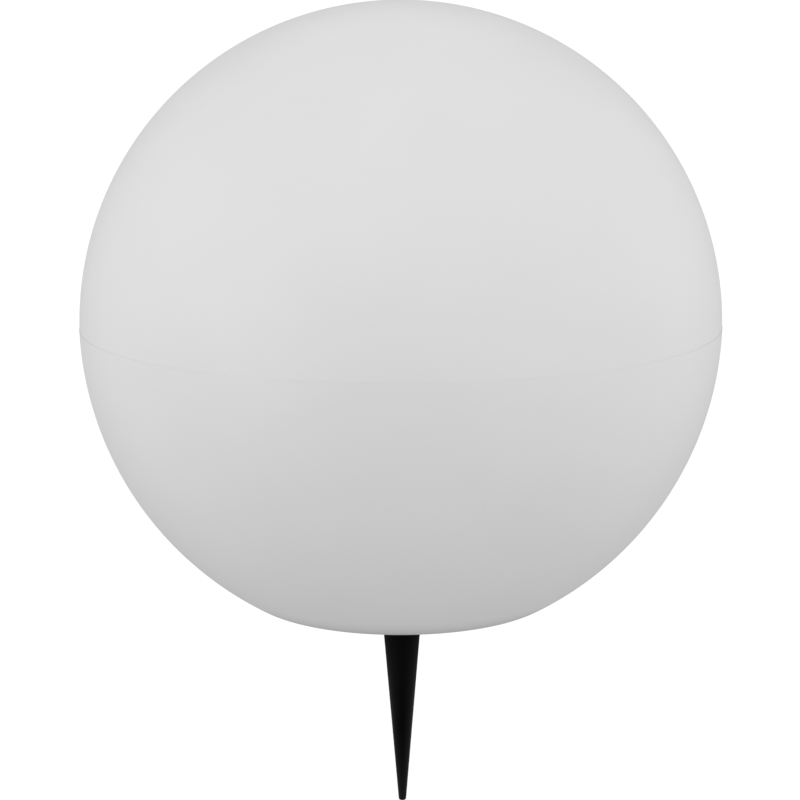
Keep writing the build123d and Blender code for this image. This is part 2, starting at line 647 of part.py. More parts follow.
def cover_outline(margin, low, high):
    """Plate around the battery cover's outline, wider by a margin on every side."""
    length = COVER_LENGTH + 2 * margin
    width = COVER_WIDTH + 2 * margin
    return Pos(0, BAY_Y, 0) * plate(length, width, COVER_CORNER + margin, low, high)


def cover_screw_places(shape):
    """Copies of a shape at the battery cover's two screws."""
    return [Pos(x, BAY_Y, 0) * shape for x in (-COVER_SCREW_X, COVER_SCREW_X)]


def socket_keys(spare, low, high):
    """Two opposite keys of the spike's neck, or with spare room around them their keyways."""
    reach = NECK_RADIUS + KEY_HEIGHT + spare
    return block(2 * reach, KEY_WIDTH + 2 * spare, low, high) & disc(reach, low, high)


def base_housing():
    """Black cup and flange with the spike's socket, battery bay, button guide and posts."""
    inside = disc(CUP_INNER + CUP_WALL / 2, FLANGE_LIFT, CUP_TOP)
    flange = disc(FLANGE_RADIUS, FLANGE_LIFT, FLANGE_TOP)
    flange = chamfer(flange.edges().sort_by(Axis.Z)[0], FLANGE_EDGE)
    body = flange + tube(CUP_RADIUS, CUP_INNER, FLANGE_LIFT, CUP_TOP)
    body += disc(SOCKET_BOSS_RADIUS, 0, FLANGE_TOP) + disc(SOCKET_RADIUS, 0, SOCKET_TOP)
    body += cover_outline(COVER_CLEARANCE + BAY_WALL, FLANGE_LIFT, PAD_TOP) & inside
    body += bay_outline(BAY_WALL, FLANGE_LIFT, BAY_TOP) & inside
    cover_boss_top = COVER_SCREW_SEAT + COVER_SCREW_LENGTH + SCREW_BOSS_WALL
    for boss in cover_screw_places(disc(SCREW_BOSS_RADIUS, REBATE_TOP, cover_boss_top)):
        body += boss
    rib = Pos(CUP_RADIUS / 2, 0, 0) * block(CUP_RADIUS, RIB_THICKNESS, FLANGE_LIFT, FLANGE_TOP + RIB_HEIGHT)
    for place in at_polar(0, RIB_ANGLES, rib):
        body += place & inside
    for post in at_polar(POST_CIRCLE, POST_ANGLES, disc(POST_RADIUS, FLANGE_TOP, CUP_TOP)):
        body += post & inside
    for x, y in BOARD_SCREW_PLACES:
        body += Pos(x, y, 0) * disc(POST_RADIUS, FLANGE_LIFT, BOARD_Z)
    guide_radius = BUTTON_RADIUS + BUTTON_CLEARANCE + GUIDE_WALL
    body += Pos(0, BUTTON_Y, 0) * disc(guide_radius, FLANGE_LIFT, GUIDE_TOP)
    return body - base_housing_holes()


def base_housing_holes():
    """Everything cut out of the base housing."""
    holes = disc(BORE_RADIUS, 0, BORE_TOP)
    holes += socket_keys(SOCKET_CLEARANCE, 0, BORE_TOP)
    holes += cover_outline(COVER_CLEARANCE, FLANGE_LIFT, REBATE_TOP)
    holes += bay_outline(0, REBATE_TOP, BAY_CEILING)
    cover_hole = Pos(0, 0, COVER_SCREW_SEAT) * Rot(180, 0, 0) * pilot(COVER_SCREW_LENGTH)
    for hole in cover_screw_places(cover_hole):
        holes += hole
    tail_slot = block(2 * CONTACT_THICKNESS, TAIL_WIDTH + CONTACT_THICKNESS, BAY_CEILING, BAY_TOP)
    for y in CELL_PLACES:
        holes += Pos(BAY_END - CONTACT_THICKNESS / 2, y, 0) * tail_slot
    for hole in at_polar(POST_CIRCLE, POST_ANGLES, Pos(0, 0, CUP_TOP) * pilot(DECK_SCREW_LENGTH)):
        holes += hole
    for x, y in BOARD_SCREW_PLACES:
        holes += Pos(x, y, BOARD_Z) * pilot(BOARD_SCREW_LENGTH)
    screw_hole = disc(SCREW_SHANK_RADIUS + SCREW_CLEARANCE, FLANGE_LIFT, FLANGE_TOP)
    screw_hole += disc(HEAD_HOLE_RADIUS, FLANGE_LIFT, BASE_SCREW_SEAT)
    for hole in at_polar(BASE_SCREW_CIRCLE, even_angles(BASE_SCREW_COUNT), screw_hole):
        holes += hole
    button_hole = disc(BUTTON_RADIUS + BUTTON_CLEARANCE, FLANGE_LIFT, GUIDE_STEP)
    button_hole += disc(STEM_RADIUS + STEM_CLEARANCE, FLANGE_LIFT, GUIDE_TOP)
    groove = RING_SECTION + RING_GROOVE_GAP
    button_hole += disc(STEM_RADIUS + 2 * groove, RING_Z - groove, RING_Z + groove)
    holes += Pos(0, BUTTON_Y, 0) * button_hole
    lead_hole = disc(GROMMET_NECK_RADIUS + SEAT_GAP, CUP_INNER / 2, CUP_RADIUS)
    return holes + Pos(0, 0, LEAD_Z) * Rot(-90, 0, 0) * lead_hole


def base_gasket():
    """Flat gasket between the flange and the bowl's recess, pierced for the screws."""
    gasket = tube(FLANGE_RADIUS, OPENING_RADIUS, FLANGE_TOP, RECESS_DEPTH)
    hole = disc(SCREW_SHANK_RADIUS + SCREW_CLEARANCE, FLANGE_TOP, RECESS_DEPTH)
    for place in at_polar(BASE_SCREW_CIRCLE, even_angles(BASE_SCREW_COUNT), hole):
        gasket -= place
    return gasket


def base_screws():
    """Screws that hold the base unit in the bowl, heads down."""
    fastener = Pos(0, 0, BASE_SCREW_SEAT) * Rot(180, 0, 0) * screw(BASE_SCREW_LENGTH, cross=True)
    return Compound(at_polar(BASE_SCREW_CIRCLE, even_angles(BASE_SCREW_COUNT), fastener))


def battery_cover():
    """Cover of the battery bay, level with the flange's face."""
    cover = cover_outline(0, FLANGE_LIFT, COVER_TOP)
    cover = chamfer(cover.faces().sort_by(Axis.Z)[0].edges(), COVER_EDGE)
    hole = disc(SCREW_SHANK_RADIUS + SCREW_CLEARANCE, FLANGE_LIFT, COVER_TOP)
    hole += disc(HEAD_HOLE_RADIUS, FLANGE_LIFT, COVER_SCREW_SEAT)
    for place in cover_screw_places(hole):
        cover -= place
    return cover


def battery_cover_seal():
    """Seal around the bay's mouth."""
    return bay_outline(COVER_SEAL_WIDTH, COVER_TOP, REBATE_TOP) - bay_outline(0, COVER_TOP, REBATE_TOP)


def battery_cover_screws():
    """Screws of the battery cover, heads down."""
    fastener = Pos(0, 0, COVER_SCREW_SEAT) * Rot(180, 0, 0) * screw(COVER_SCREW_LENGTH, cross=True)
    return Compound(cover_screw_places(fastener))


def battery_cell(index):
    """AA cell lying along X; every second one points the other way."""
    can = disc(CELL_RADIUS, 0, CELL_BODY)
    can = fillet(can.edges().filter_by(GeomType.CIRCLE), CELL_EDGE)
    cell = can + disc(CELL_NUB_RADIUS, CELL_BODY, CELL_LENGTH)
    cell = Pos(-BAY_END + MINUS_GAP, 0, 0) * Rot(0, 90, 0) * cell
    if index % 2:
        cell = Rot(0, 0, 180) * cell
    return Pos(0, CELL_PLACES[index], CELL_Z) * cell


def contact_plate(width):
    """Plate against the bay's end at +X, upright across the cell."""
    low = CELL_Z - CONTACT_HEIGHT / 2
    middle = Pos(BAY_END - CONTACT_THICKNESS / 2, 0, 0)
    return middle * block(CONTACT_THICKNESS, width, low, low + CONTACT_HEIGHT)


def contact_tail():
    """Solder tail from a contact plate up through the bay's ceiling."""
    middle = Pos(BAY_END - CONTACT_THICKNESS / 2, 0, 0)
    return middle * block(CONTACT_THICKNESS, TAIL_WIDTH, CELL_Z, TAIL_TOP)


def dimple():
    """Pressed dimple that meets a cell's nub."""
    start = BAY_END - CONTACT_THICKNESS - DIMPLE_HEIGHT
    return Pos(0, 0, CELL_Z) * Rot(0, 90, 0) * disc(DIMPLE_RADIUS, start, BAY_END - CONTACT_THICKNESS)


def leaf():
    """Bent leaf spring that meets a cell's flat end."""
    root = BAY_END - CONTACT_THICKNESS / 2
    half = CONTACT_THICKNESS / 2
    top = CELL_Z + CONTACT_HEIGHT / 2 - half
    bottom = CELL_Z - CONTACT_HEIGHT / 2 + half
    crest = BAY_END - CONTACT_THICKNESS - LEAF_REACH + half
    bend = Polyline((root, bottom), (crest, CELL_Z), (root - CONTACT_THICKNESS, top))
    strip = trace(bend, CONTACT_THICKNESS)
    band = extrude(Plane.XZ * strip, CONTACT_WIDTH / 4, both=True)
    reach = BAY_END - CONTACT_THICKNESS - LEAF_REACH
    limit = block(BAY_END - reach, CONTACT_WIDTH, bottom - half, top + half)
    return band & Pos((reach + BAY_END) / 2, 0, 0) * limit


def battery_plus_terminal():
    """Contact for the first cell's nub."""
    return Pos(0, CELL_PLACES[0], 0) * (contact_plate(CONTACT_WIDTH) + contact_tail() + dimple())


def battery_minus_terminal():
    """Sprung contact for the last cell's flat end."""
    return Pos(0, CELL_PLACES[-1], 0) * (contact_plate(CONTACT_WIDTH) + contact_tail() + leaf())


def battery_bridge():
    """Contact at the other end of the bay that joins the two cells."""
    link = Pos(0, BAY_Y, 0) * contact_plate(CELL_PITCH + CONTACT_WIDTH)
    link += Pos(0, CELL_PLACES[-1], 0) * leaf()
    link += Pos(0, CELL_PLACES[0], 0) * dimple()
    return Pos(0, BAY_Y, 0) * Rot(0, 0, 180) * Pos(0, -BAY_Y, 0) * link


def power_button():
    """Round push button with its stem, grooved for the retaining clip."""
    cap = disc(BUTTON_RADIUS, BUTTON_FACE, CAP_TOP)
    cap = fillet(cap.edges().sort_by(Axis.Z)[0], BUTTON_EDGE)
    stem = disc(STEM_RADIUS, CAP_TOP, STEM_TOP)
    groove_top = CLIP_RING_Z + CLIP_RING_THICKNESS
    groove = tube(CLIP_RING_RADIUS, STEM_RADIUS - CLIP_GROOVE_DEPTH, CLIP_RING_Z, groove_top)
    return Pos(0, BUTTON_Y, 0) * (cap + stem - groove)


def button_clip():
    """Open retaining clip in the stem's groove, above the guide."""
    high = CLIP_RING_Z + CLIP_RING_THICKNESS
    inner = STEM_RADIUS - CLIP_GROOVE_DEPTH + SEAT_GAP
    clip = tube(CLIP_RING_RADIUS, inner, CLIP_RING_Z, high)
    mouth = Pos(CLIP_RING_RADIUS / 2, 0, 0) * block(CLIP_RING_RADIUS, CLIP_RING_MOUTH, CLIP_RING_Z, high)
    return Pos(0, BUTTON_Y, 0) * (clip - mouth)


def button_seal():
    """Sealing ring around the button's stem."""
    return Pos(0, BUTTON_Y, RING_Z) * Torus(STEM_RADIUS + SEAT_GAP + RING_SECTION, RING_SECTION)


def switch_plunger():
    """Plunger of the switch, standing on the button's stem."""
    return Pos(0, BUTTON_Y, 0) * disc(PLUNGER_RADIUS, STEM_TOP, SWITCH_Z + PLUNGER_ENGAGED)


def switch_body():
    """Push switch under the circuit board, with its plunger's well."""
    body = plate(SWITCH_SIDE, SWITCH_SIDE, SWITCH_SIDE / 10, SWITCH_Z, BOARD_Z)
    well_top = SWITCH_Z + PLUNGER_ENGAGED + BUTTON_TRAVEL + BUTTON_CLEARANCE
    return Pos(0, BUTTON_Y, 0) * (body - disc(PLUNGER_RADIUS + STEM_CLEARANCE, SWITCH_Z, well_top))


def circuit_board():
    """Charging and driving board on its posts behind the socket."""
    board = Pos(0, BOARD_Y, 0) * plate(BOARD_LENGTH, BOARD_WIDTH, BOARD_CORNER, BOARD_Z, BOARD_TOP)
    for x, y in BOARD_SCREW_PLACES:
        board -= Pos(x, y, 0) * disc(SCREW_SHANK_RADIUS + BOARD_HOLE_CLEARANCE, BOARD_Z, BOARD_TOP)
    return board


def on_board(place, shape):
    """A shape made at height 0, set on the circuit board at a place from its centre."""
    return Pos(place[0], BOARD_Y + place[1], BOARD_TOP) * shape


def charge_controller():
    """Chip that charges the cells and switches the light."""
    length, width, height = CONTROLLER_SIZE
    return on_board(CONTROLLER_PLACE, block(length, width, 0, height))


def boost_coil():
    """Drum coil of the voltage booster."""
    drum = disc(COIL_RADIUS, 0, COIL_RIM) + disc(COIL_WAIST, 0, COIL_HEIGHT)
    return on_board(COIL_PLACE, drum + disc(COIL_RADIUS, COIL_HEIGHT - COIL_RIM, COIL_HEIGHT))


def storage_capacitor():
    """Upright capacitor can."""
    can = disc(CAPACITOR_RADIUS, 0, CAPACITOR_HEIGHT)
    return on_board(CAPACITOR_PLACE, fillet(can.edges().sort_by(Axis.Z)[-1], CAPACITOR_EDGE))


def lead_connector():
    """Connector that takes the panel's lead."""
    length, width, height = CONNECTOR_SIZE
    return Pos(0, CONNECTOR_Y - width / 2, BOARD_TOP) * block(length, width, 0, height)


def board_screws():
    """Screws that hold the circuit board on its posts."""
    return Compound([Pos(x, y, BOARD_TOP) * screw(BOARD_SCREW_LENGTH) for x, y in BOARD_SCREW_PLACES])


def lamp_deck():
    """White reflector deck that closes the cup and carries the light source."""
    deck = disc(CUP_RADIUS, CUP_TOP, DECK_TOP)
    lip_radius = CUP_INNER - DECK_LIP_CLEARANCE
    lip = tube(lip_radius, lip_radius - DECK_LIP_WALL, CUP_TOP - DECK_LIP_HEIGHT, CUP_TOP)
    for notch in at_polar(POST_CIRCLE, POST_ANGLES, disc(POST_RADIUS + BASE_CLEARANCE, 0, CUP_TOP)):
        lip -= notch
    deck += lip
    boss = disc(SCREW_BOSS_RADIUS, CUP_TOP - LED_BOSS_DEPTH, CUP_TOP)
    angles = even_angles(LED_SCREW_COUNT)
    for place in at_polar(LED_SCREW_CIRCLE, angles, boss):
        deck += place
    hole = Pos(0, 0, LED_BOARD_TOP) * pilot(LED_SCREW_LENGTH)
    for place in at_polar(LED_SCREW_CIRCLE, angles, hole):
        deck -= place
    screw_hole = disc(SCREW_SHANK_RADIUS + SCREW_CLEARANCE, CUP_TOP, DECK_TOP)
    for place in at_polar(POST_CIRCLE, POST_ANGLES, screw_hole):
        deck -= place
    slot_length = LED_WIRE_SPACING + LED_WIRE_PASSAGE
    slot_corner = LED_WIRE_PASSAGE / 2 - SEAT_GAP
    deck -= Pos(0, LED_WIRE_Y, 0) * plate(slot_length, LED_WIRE_PASSAGE, slot_corner, CUP_TOP, DECK_TOP)
    seat_outer = DIFFUSER_RADIUS + DIFFUSER_CLEARANCE
    seat_inner = DIFFUSER_RADIUS - DIFFUSER_WALL - DIFFUSER_CLEARANCE
    return deck - tube(seat_outer, seat_inner, DECK_TOP - DIFFUSER_SEAT, DECK_TOP)


def deck_screws():
    """Screws that hold the deck on the cup's posts."""
    fastener = Pos(0, 0, DECK_TOP) * screw(DECK_SCREW_LENGTH)
    return Compound(at_polar(POST_CIRCLE, POST_ANGLES, fastener))


def led_board():
    """Round light board on the deck."""
    board = disc(LED_BOARD_RADIUS, DECK_TOP, LED_BOARD_TOP)
    hole = disc(SCREW_SHANK_RADIUS + BOARD_HOLE_CLEARANCE, DECK_TOP, LED_BOARD_TOP)
    for place in at_polar(LED_SCREW_CIRCLE, even_angles(LED_SCREW_COUNT), hole):
        board -= place
    return board


def led_chips():
    """Ring of light-emitting chips."""
    length, width, height = LED_SIZE
    chip = block(length, width, LED_BOARD_TOP, LED_BOARD_TOP + height)
    return Compound(at_polar(LED_CIRCLE, even_angles(LED_COUNT), chip))


def led_screws():
    """Screws of the light board."""
    fastener = Pos(0, 0, LED_BOARD_TOP) * screw(LED_SCREW_LENGTH)
    return Compound(at_polar(LED_SCREW_CIRCLE, even_angles(LED_SCREW_COUNT), fastener))


def led_diffuser():
    """Frosted cap over the light board, its rim in the deck's groove."""
    low = DECK_TOP - DIFFUSER_SEAT
    rise = DIFFUSER_HEIGHT
    ball = (DIFFUSER_RADIUS**2 + rise**2) / (2 * rise)
    inner = ball - DIFFUSER_WALL
    centre = DECK_TOP + rise - ball
    cap = Pos(0, 0, centre) * (Sphere(ball) - Sphere(inner))
    cap &= disc(DIFFUSER_RADIUS, DECK_TOP, DECK_TOP + rise)
    return cap + tube(DIFFUSER_RADIUS, DIFFUSER_RADIUS - DIFFUSER_WALL, low, DECK_TOP + DIFFUSER_WALL)


def wire_along(*points, bend):
    """Round wire along straight runs with rounded bends, through points on the plane X = 0."""
    path = Plane.YZ * FilletPolyline(*points, radius=bend)
    start = Plane(origin=(0, points[0][0], points[0][1]))
    return sweep(start * Circle(WIRE_RADIUS), path=path)


def led_wires():
    """Two wires from the circuit board up through the deck to the light board."""
    top = LED_BOARD_TOP + WIRE_RADIUS
    end = LED_BOARD_RADIUS - LED_WIRE_LANDING
    wire = wire_along((LED_WIRE_Y, BOARD_TOP), (LED_WIRE_Y, top), (end, top), bend=LED_WIRE_BEND)
    return Compound([Pos(x, 0, 0) * wire for x in (-LED_WIRE_SPACING / 2, LED_WIRE_SPACING / 2)])


def battery_wire(index):
    """Wire from a battery contact's tail over to the circuit board."""
    start = CELL_PLACES[index]
    height = BOARD_TOP + BATTERY_WIRE_RISE + BATTERY_WIRE_STEP * index
    end = BOARD_Y + BATTERY_WIRE_STEP * index
    wire = wire_along((start, TAIL_TOP), (start, height), (end, height), (end, BOARD_TOP), bend=WIRE_BEND)
    return Pos(BAY_END - CONTACT_THICKNESS / 2, 0, 0) * wire


def battery_wires():
    """The two wires of the battery bay."""
    return Compound([battery_wire(index) for index in range(CELL_COUNT)])


def ground_spike():
    """Tapered spike with a keyed neck that plugs into the base unit's socket; cored from its neck."""
    slope = (SPIKE_RADIUS - SPIKE_TIP_RADIUS) / SPIKE_LENGTH
    core_low = SPIKE_SOLID_TIP - SPIKE_LENGTH
    core_tip = SPIKE_RADIUS + slope * core_low - SPIKE_WALL
    core_radius = NECK_RADIUS - NECK_WALL
    body = turned((0, 0), (SPIKE_RADIUS, 0), (SPIKE_TIP_RADIUS, -SPIKE_LENGTH), (0, -SPIKE_LENGTH))
    body = fillet(body.edges().filter_by(GeomType.CIRCLE).sort_by(Axis.Z)[0], SPIKE_TIP_FILLET)
    neck = disc(NECK_RADIUS, 0, NECK_LENGTH)
    neck = chamfer(neck.edges().sort_by(Axis.Z)[-1], NECK_CHAMFER)
    body += neck + socket_keys(0, 0, NECK_LENGTH - KEY_END)
    core = turned(
        (0, NECK_LENGTH),
        (core_radius, NECK_LENGTH),
        (core_radius, 0),
        (core_tip, core_low),
        (0, core_low),
    )
    return body - core


PARTS = {
    "ground_spike": ground_spike,
    "upper_dome": upper_dome,
    "lower_bowl": lower_bowl,
    "seam_seal": seam_seal,
    "solar_tray": solar_tray,
    "solar_gasket": solar_gasket,
    "solar_backsheet": solar_backsheet,
    "solar_cells": solar_cells,
    "solar_cover": solar_cover,
    "solar_washers": solar_washers,
    "solar_screws": solar_screws,
    "panel_grommet": panel_grommet,
    "panel_lead": panel_lead,
    "lead_clips": lead_clips,
    "base_grommet": base_grommet,
    "base_housing": base_housing,
    "base_gasket": base_gasket,
    "base_screws": base_screws,
    "battery_cover": battery_cover,
    "battery_cover_seal": battery_cover_seal,
    "battery_cover_screws": battery_cover_screws,
    "battery_plus_terminal": battery_plus_terminal,
    "battery_minus_terminal": battery_minus_terminal,
    "battery_bridge": battery_bridge,
    "battery_wires": battery_wires,
    "power_button": power_button,
    "button_clip": button_clip,
    "button_seal": button_seal,
    "switch_plunger": switch_plunger,
    "switch_body": switch_body,
    "circuit_board": circuit_board,
    "charge_controller": charge_controller,
    "boost_coil": boost_coil,
    "storage_capacitor": storage_capacitor,
    "lead_connector": lead_connector,
    "board_screws": board_screws,
    "lamp_deck": lamp_deck,
    "deck_screws": deck_screws,
    "led_board": led_board,
    "led_chips": led_chips,
    "led_screws": led_screws,
    "led_wires": led_wires,
    "led_diffuser": led_diffuser,
}

os.makedirs("parts", exist_ok=True)
for node, make in PARTS.items():
    export_step(make(), f"parts/{node}.step")
for number in range(CELL_COUNT):
    export_step(battery_cell(number), f"parts/battery_cell_{number + 1}.step")
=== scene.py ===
# %% [markdown]
# # A round solar garden lamp
# The real lamp is an opal plastic globe in two moulded halves, a black base unit in its underside and a
# black spike that holds it in a flower bed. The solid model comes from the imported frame, in metres, with
# the ground line at height 0, the plain front towards -Y and the solar panel in the back, towards +Y.

# %% Load the solid model
import math
import bmesh
import bpy
import numpy as np
from mathutils import Euler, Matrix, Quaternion, Vector


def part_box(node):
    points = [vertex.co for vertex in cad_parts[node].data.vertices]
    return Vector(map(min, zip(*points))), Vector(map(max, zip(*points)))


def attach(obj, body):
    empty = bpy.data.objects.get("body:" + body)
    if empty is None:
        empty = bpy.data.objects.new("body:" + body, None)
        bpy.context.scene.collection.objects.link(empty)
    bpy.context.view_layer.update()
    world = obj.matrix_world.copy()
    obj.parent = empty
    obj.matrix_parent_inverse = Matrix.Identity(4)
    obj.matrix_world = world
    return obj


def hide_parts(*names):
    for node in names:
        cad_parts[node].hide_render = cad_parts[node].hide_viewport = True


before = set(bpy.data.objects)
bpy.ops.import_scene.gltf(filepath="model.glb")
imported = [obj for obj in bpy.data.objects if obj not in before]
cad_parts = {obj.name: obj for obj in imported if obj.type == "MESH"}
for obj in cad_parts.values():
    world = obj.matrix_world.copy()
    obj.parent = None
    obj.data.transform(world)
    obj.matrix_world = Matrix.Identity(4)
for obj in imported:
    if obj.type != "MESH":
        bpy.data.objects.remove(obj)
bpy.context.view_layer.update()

MM = 0.001

# %% [markdown]
# ## Sizes
# A reader could type the lamp's sizes here, but they would drift from the solid model. The large ones are
# read from the boxes of its nodes instead, and only the thin ones, which no box shows, are written down.

# %% Read the large sizes from the frame
dome_low, dome_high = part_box("upper_dome")
bowl_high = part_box("lower_bowl")[1]
spike_low, spike_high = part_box("ground_spike")
GLOBE_RADIUS = dome_high.x
CENTRE_Z = dome_high.z - GLOBE_RADIUS
SEAM_Z = dome_low.z
RIM_RADIUS = bowl_high.x
LAP_TOP = bowl_high.z
PANEL_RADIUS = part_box("solar_tray")[1].x
FLANGE_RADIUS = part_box("base_housing")[1].x
SEAT_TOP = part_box("base_gasket")[1].z
SPIKE_RADIUS = spike_high.x
SPIKE_TIP_Z = spike_low.z
NECK_TOP = spike_high.z
print(f"globe {2 * GLOBE_RADIUS:.3f} m across, centre {CENTRE_Z:.4f} m up, seam {SEAM_Z:.4f} m up")

# %% Thin sizes of the shell
SHELL_WALL = 2.5 * MM
LAP_RADIUS = GLOBE_RADIUS - SHELL_WALL
LAP_CLEARANCE = 0.2 * MM
LAP_WALL = 3.0 * MM
LAP_END_GAP = 0.5 * MM
RIM_EDGE = 0.04 * MM  # rounding of the bowl's edge at the seam
SKIRT_EDGE = 0.1 * MM  # rounding of the dome's edge above it

# %% [markdown]
# ## From a grid of points to a mesh
# Every new piece is a surface over two parameters. numpy works out all its points at once as an array of
# rows and columns, and this cell turns any such grid into quads. Typing faces by hand or adding Blender's
# own primitives would hide the formula that makes the shape.

# %% Grid to mesh
MERGE_DISTANCE = 0.0001 * MM
EDGE_STEPS = 6  # points on the arc of a rounded edge


def lay_surface(name, grid, close_rows=True, crease=30.0):
    """Mesh of quads on a grid of points shaped (rows, columns, 3).

    A point joins the next one along its column and along its row. Columns always close into a ring, and
    rows close into a tube if asked. Points that coincide, as at a pole, are merged, faces are turned
    outwards, and edges that fold by more than the crease angle stay sharp.
    """
    rows, columns = grid.shape[:2]
    row, column = np.meshgrid(
        np.arange(rows if close_rows else rows - 1), np.arange(columns), indexing="ij"
    )
    next_row = (row + 1) % rows
    next_column = (column + 1) % columns
    corners = [row * columns + column, row * columns + next_column]
    corners += [next_row * columns + next_column, next_row * columns + column]
    quads = np.stack(corners, axis=-1).reshape(-1, 4)
    mesh = bpy.data.meshes.new(name)
    mesh.vertices.add(rows * columns)
    mesh.vertices.foreach_set("co", grid.astype(np.float32).ravel())
    mesh.loops.add(quads.size)
    mesh.loops.foreach_set("vertex_index", quads.astype(np.int32).ravel())
    mesh.polygons.add(len(quads))
    mesh.polygons.foreach_set("loop_start", np.arange(0, quads.size, 4, dtype=np.int32))
    mesh.update(calc_edges=True)
    work = bmesh.new()
    work.from_mesh(mesh)
    bmesh.ops.remove_doubles(work, verts=work.verts, dist=MERGE_DISTANCE)
    bmesh.ops.recalc_face_normals(work, faces=work.faces)
    work.to_mesh(mesh)
    work.free()
    mesh.polygons.foreach_set("use_smooth", np.ones(len(mesh.polygons), dtype=bool))
    mesh.set_sharp_from_angle(angle=math.radians(crease))
    piece = bpy.data.objects.new(name, mesh)
    bpy.context.scene.collection.objects.link(piece)
    print(f"{name}: {len(mesh.vertices)} points, {len(mesh.polygons)} faces")
    return piece


# %% Arcs and turned shapes
def arc(centre, radius, start, end, steps):
    """Points (x, y) on a circle about a centre, from one angle in degrees to another."""
    turn = np.radians(np.linspace(start, end, steps))
    return np.stack([centre[0] + radius * np.cos(turn), centre[1] + radius * np.sin(turn)], axis=-1)


def turned(profile, columns):
    """Surface of revolution: each (radius, height) of a profile is carried round the upright axis."""
    turn = np.linspace(0, 2 * np.pi, columns, endpoint=False)
    radius = profile[:, 0, None]
    height = np.broadcast_to(profile[:, 1, None], (len(profile), columns))
    return np.stack([radius * np.cos(turn), radius * np.sin(turn), height], axis=-1)


# %% [markdown]
# ## Upper half of the globe
# The dome is a half sphere with a short straight skirt, and a round pocket for the solar panel is sunk
# into its back. A sphere with a hole cut in it would leave ragged triangles round the pocket, so the grid
# is laid about the panel's axis: its columns leave the pocket's rim like meridians and end at the seam.

# %% Directions of the panel
PANEL_TILT = math.radians(45.0)
POCKET_CLEARANCE = 0.3 * MM
POCKET_RADIUS = PANEL_RADIUS + POCKET_CLEARANCE
POCKET_DEPTH = 6.6 * MM
POCKET_EDGE = 0.5 * MM
LEAD_HOLE_RADIUS = 4.55 * MM
FACET = math.sqrt(GLOBE_RADIUS**2 - POCKET_RADIUS**2)  # from the globe's centre to the panel's face
COLUMNS = 360
panel_axis = np.array([0.0, math.cos(PANEL_TILT), math.sin(PANEL_TILT)])
panel_up = np.array([0.0, -math.sin(PANEL_TILT), math.cos(PANEL_TILT)])
globe_centre = np.array([0.0, 0.0, CENTRE_Z])
panel_side = np.array([1.0, 0.0, 0.0])
panel_turn = np.linspace(0, 2 * np.pi, COLUMNS, endpoint=False)
outwards = np.cos(panel_turn)[:, None] * panel_up + np.sin(panel_turn)[:, None] * panel_side


# %% Formula of the dome
def about_panel(profile):
    """Rings about the panel's axis from (distance from the axis, height over the panel's face) points."""
    reach = profile[:, 0, None, None]
    height = FACET + profile[:, 1, None, None]
    return globe_centre + reach * outwards + height * panel_axis


def angle_at_height(radius, rise):
    """Angle from the panel's axis at which each column of a sphere comes down to a height over its centre.

    A point at angle a on a column has height radius * (A cos a + B sin a), which is a cosine about the
    angle atan2(B, A), so its far crossing of the height is that angle plus an arc cosine.
    """
    along = panel_axis[2]
    across = outwards[:, 2]
    return np.arctan2(across, along) + np.arccos(rise / radius / np.hypot(along, across))


def cap(radius, first, last, rows):
    """Part of a sphere: each column runs from a first to a last angle from the panel's axis."""
    share = np.linspace(0, 1, rows)[:, None]
    angle = (first + share * (last - first))[:, :, None]
    return globe_centre + radius * (np.cos(angle) * panel_axis + np.sin(angle) * outwards)


def hoops(profile, heading):
    """Level rings from (radius, height) points, with each column at its own heading round the globe."""
    level = profile[:, 0, None, None] * heading
    level[:, :, 2] = profile[:, 1, None]
    return level


# %% Lay the dome
POCKET_RIM_STEPS = 5
OUTER_ROWS = 150
INNER_ROWS = 50
pocket = np.array([[LEAD_HOLE_RADIUS, -POCKET_DEPTH], [POCKET_RADIUS, -POCKET_DEPTH]])
rim_angle = math.asin(POCKET_RADIUS / GLOBE_RADIUS) + POCKET_EDGE / GLOBE_RADIUS
corner = np.array([[POCKET_RADIUS, -POCKET_EDGE], [POCKET_RADIUS, 0.0], [0.0, -FACET]])
corner[2] += GLOBE_RADIUS * np.array([math.sin(rim_angle), math.cos(rim_angle)])
# The rim is a parabola that leaves the pocket's wall and the sphere along their own directions.
step = np.linspace(0, 1, POCKET_RIM_STEPS)[:, None]
pocket_rim = (1 - step) ** 2 * corner[0] + 2 * step * (1 - step) * corner[1] + step**2 * corner[2]
equator = angle_at_height(GLOBE_RADIUS, 0.0)
outer_cap = cap(GLOBE_RADIUS, rim_angle, equator, OUTER_ROWS)
heading = (outer_cap[-1] - globe_centre) / GLOBE_RADIUS
skirt_edge = arc((GLOBE_RADIUS - SKIRT_EDGE, SEAM_Z + SKIRT_EDGE), SKIRT_EDGE, 0, -90, EDGE_STEPS)
land_top = LAP_TOP + LAP_END_GAP
lap_land = np.array([[LAP_RADIUS, SEAM_Z], [LAP_RADIUS, land_top]])
skirt = hoops(np.concatenate([skirt_edge, lap_land]), heading)
cup_radius = POCKET_RADIUS + SHELL_WALL
cup_angle = math.asin(cup_radius / LAP_RADIUS)
land_angle = angle_at_height(LAP_RADIUS, land_top - CENTRE_Z)
inner_cap = cap(LAP_RADIUS, cup_angle, land_angle, INNER_ROWS)[::-1]
cup_floor = -POCKET_DEPTH - SHELL_WALL
cup = np.array([[cup_radius, cup_floor], [LEAD_HOLE_RADIUS, cup_floor]])
dome_grid = [about_panel(pocket), about_panel(pocket_rim), outer_cap[1:]]
dome_grid += [skirt, inner_cap, about_panel(cup)]
globe_dome = lay_surface("globe_dome", np.concatenate(dome_grid))
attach(globe_dome, "lamp")
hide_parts("upper_dome")

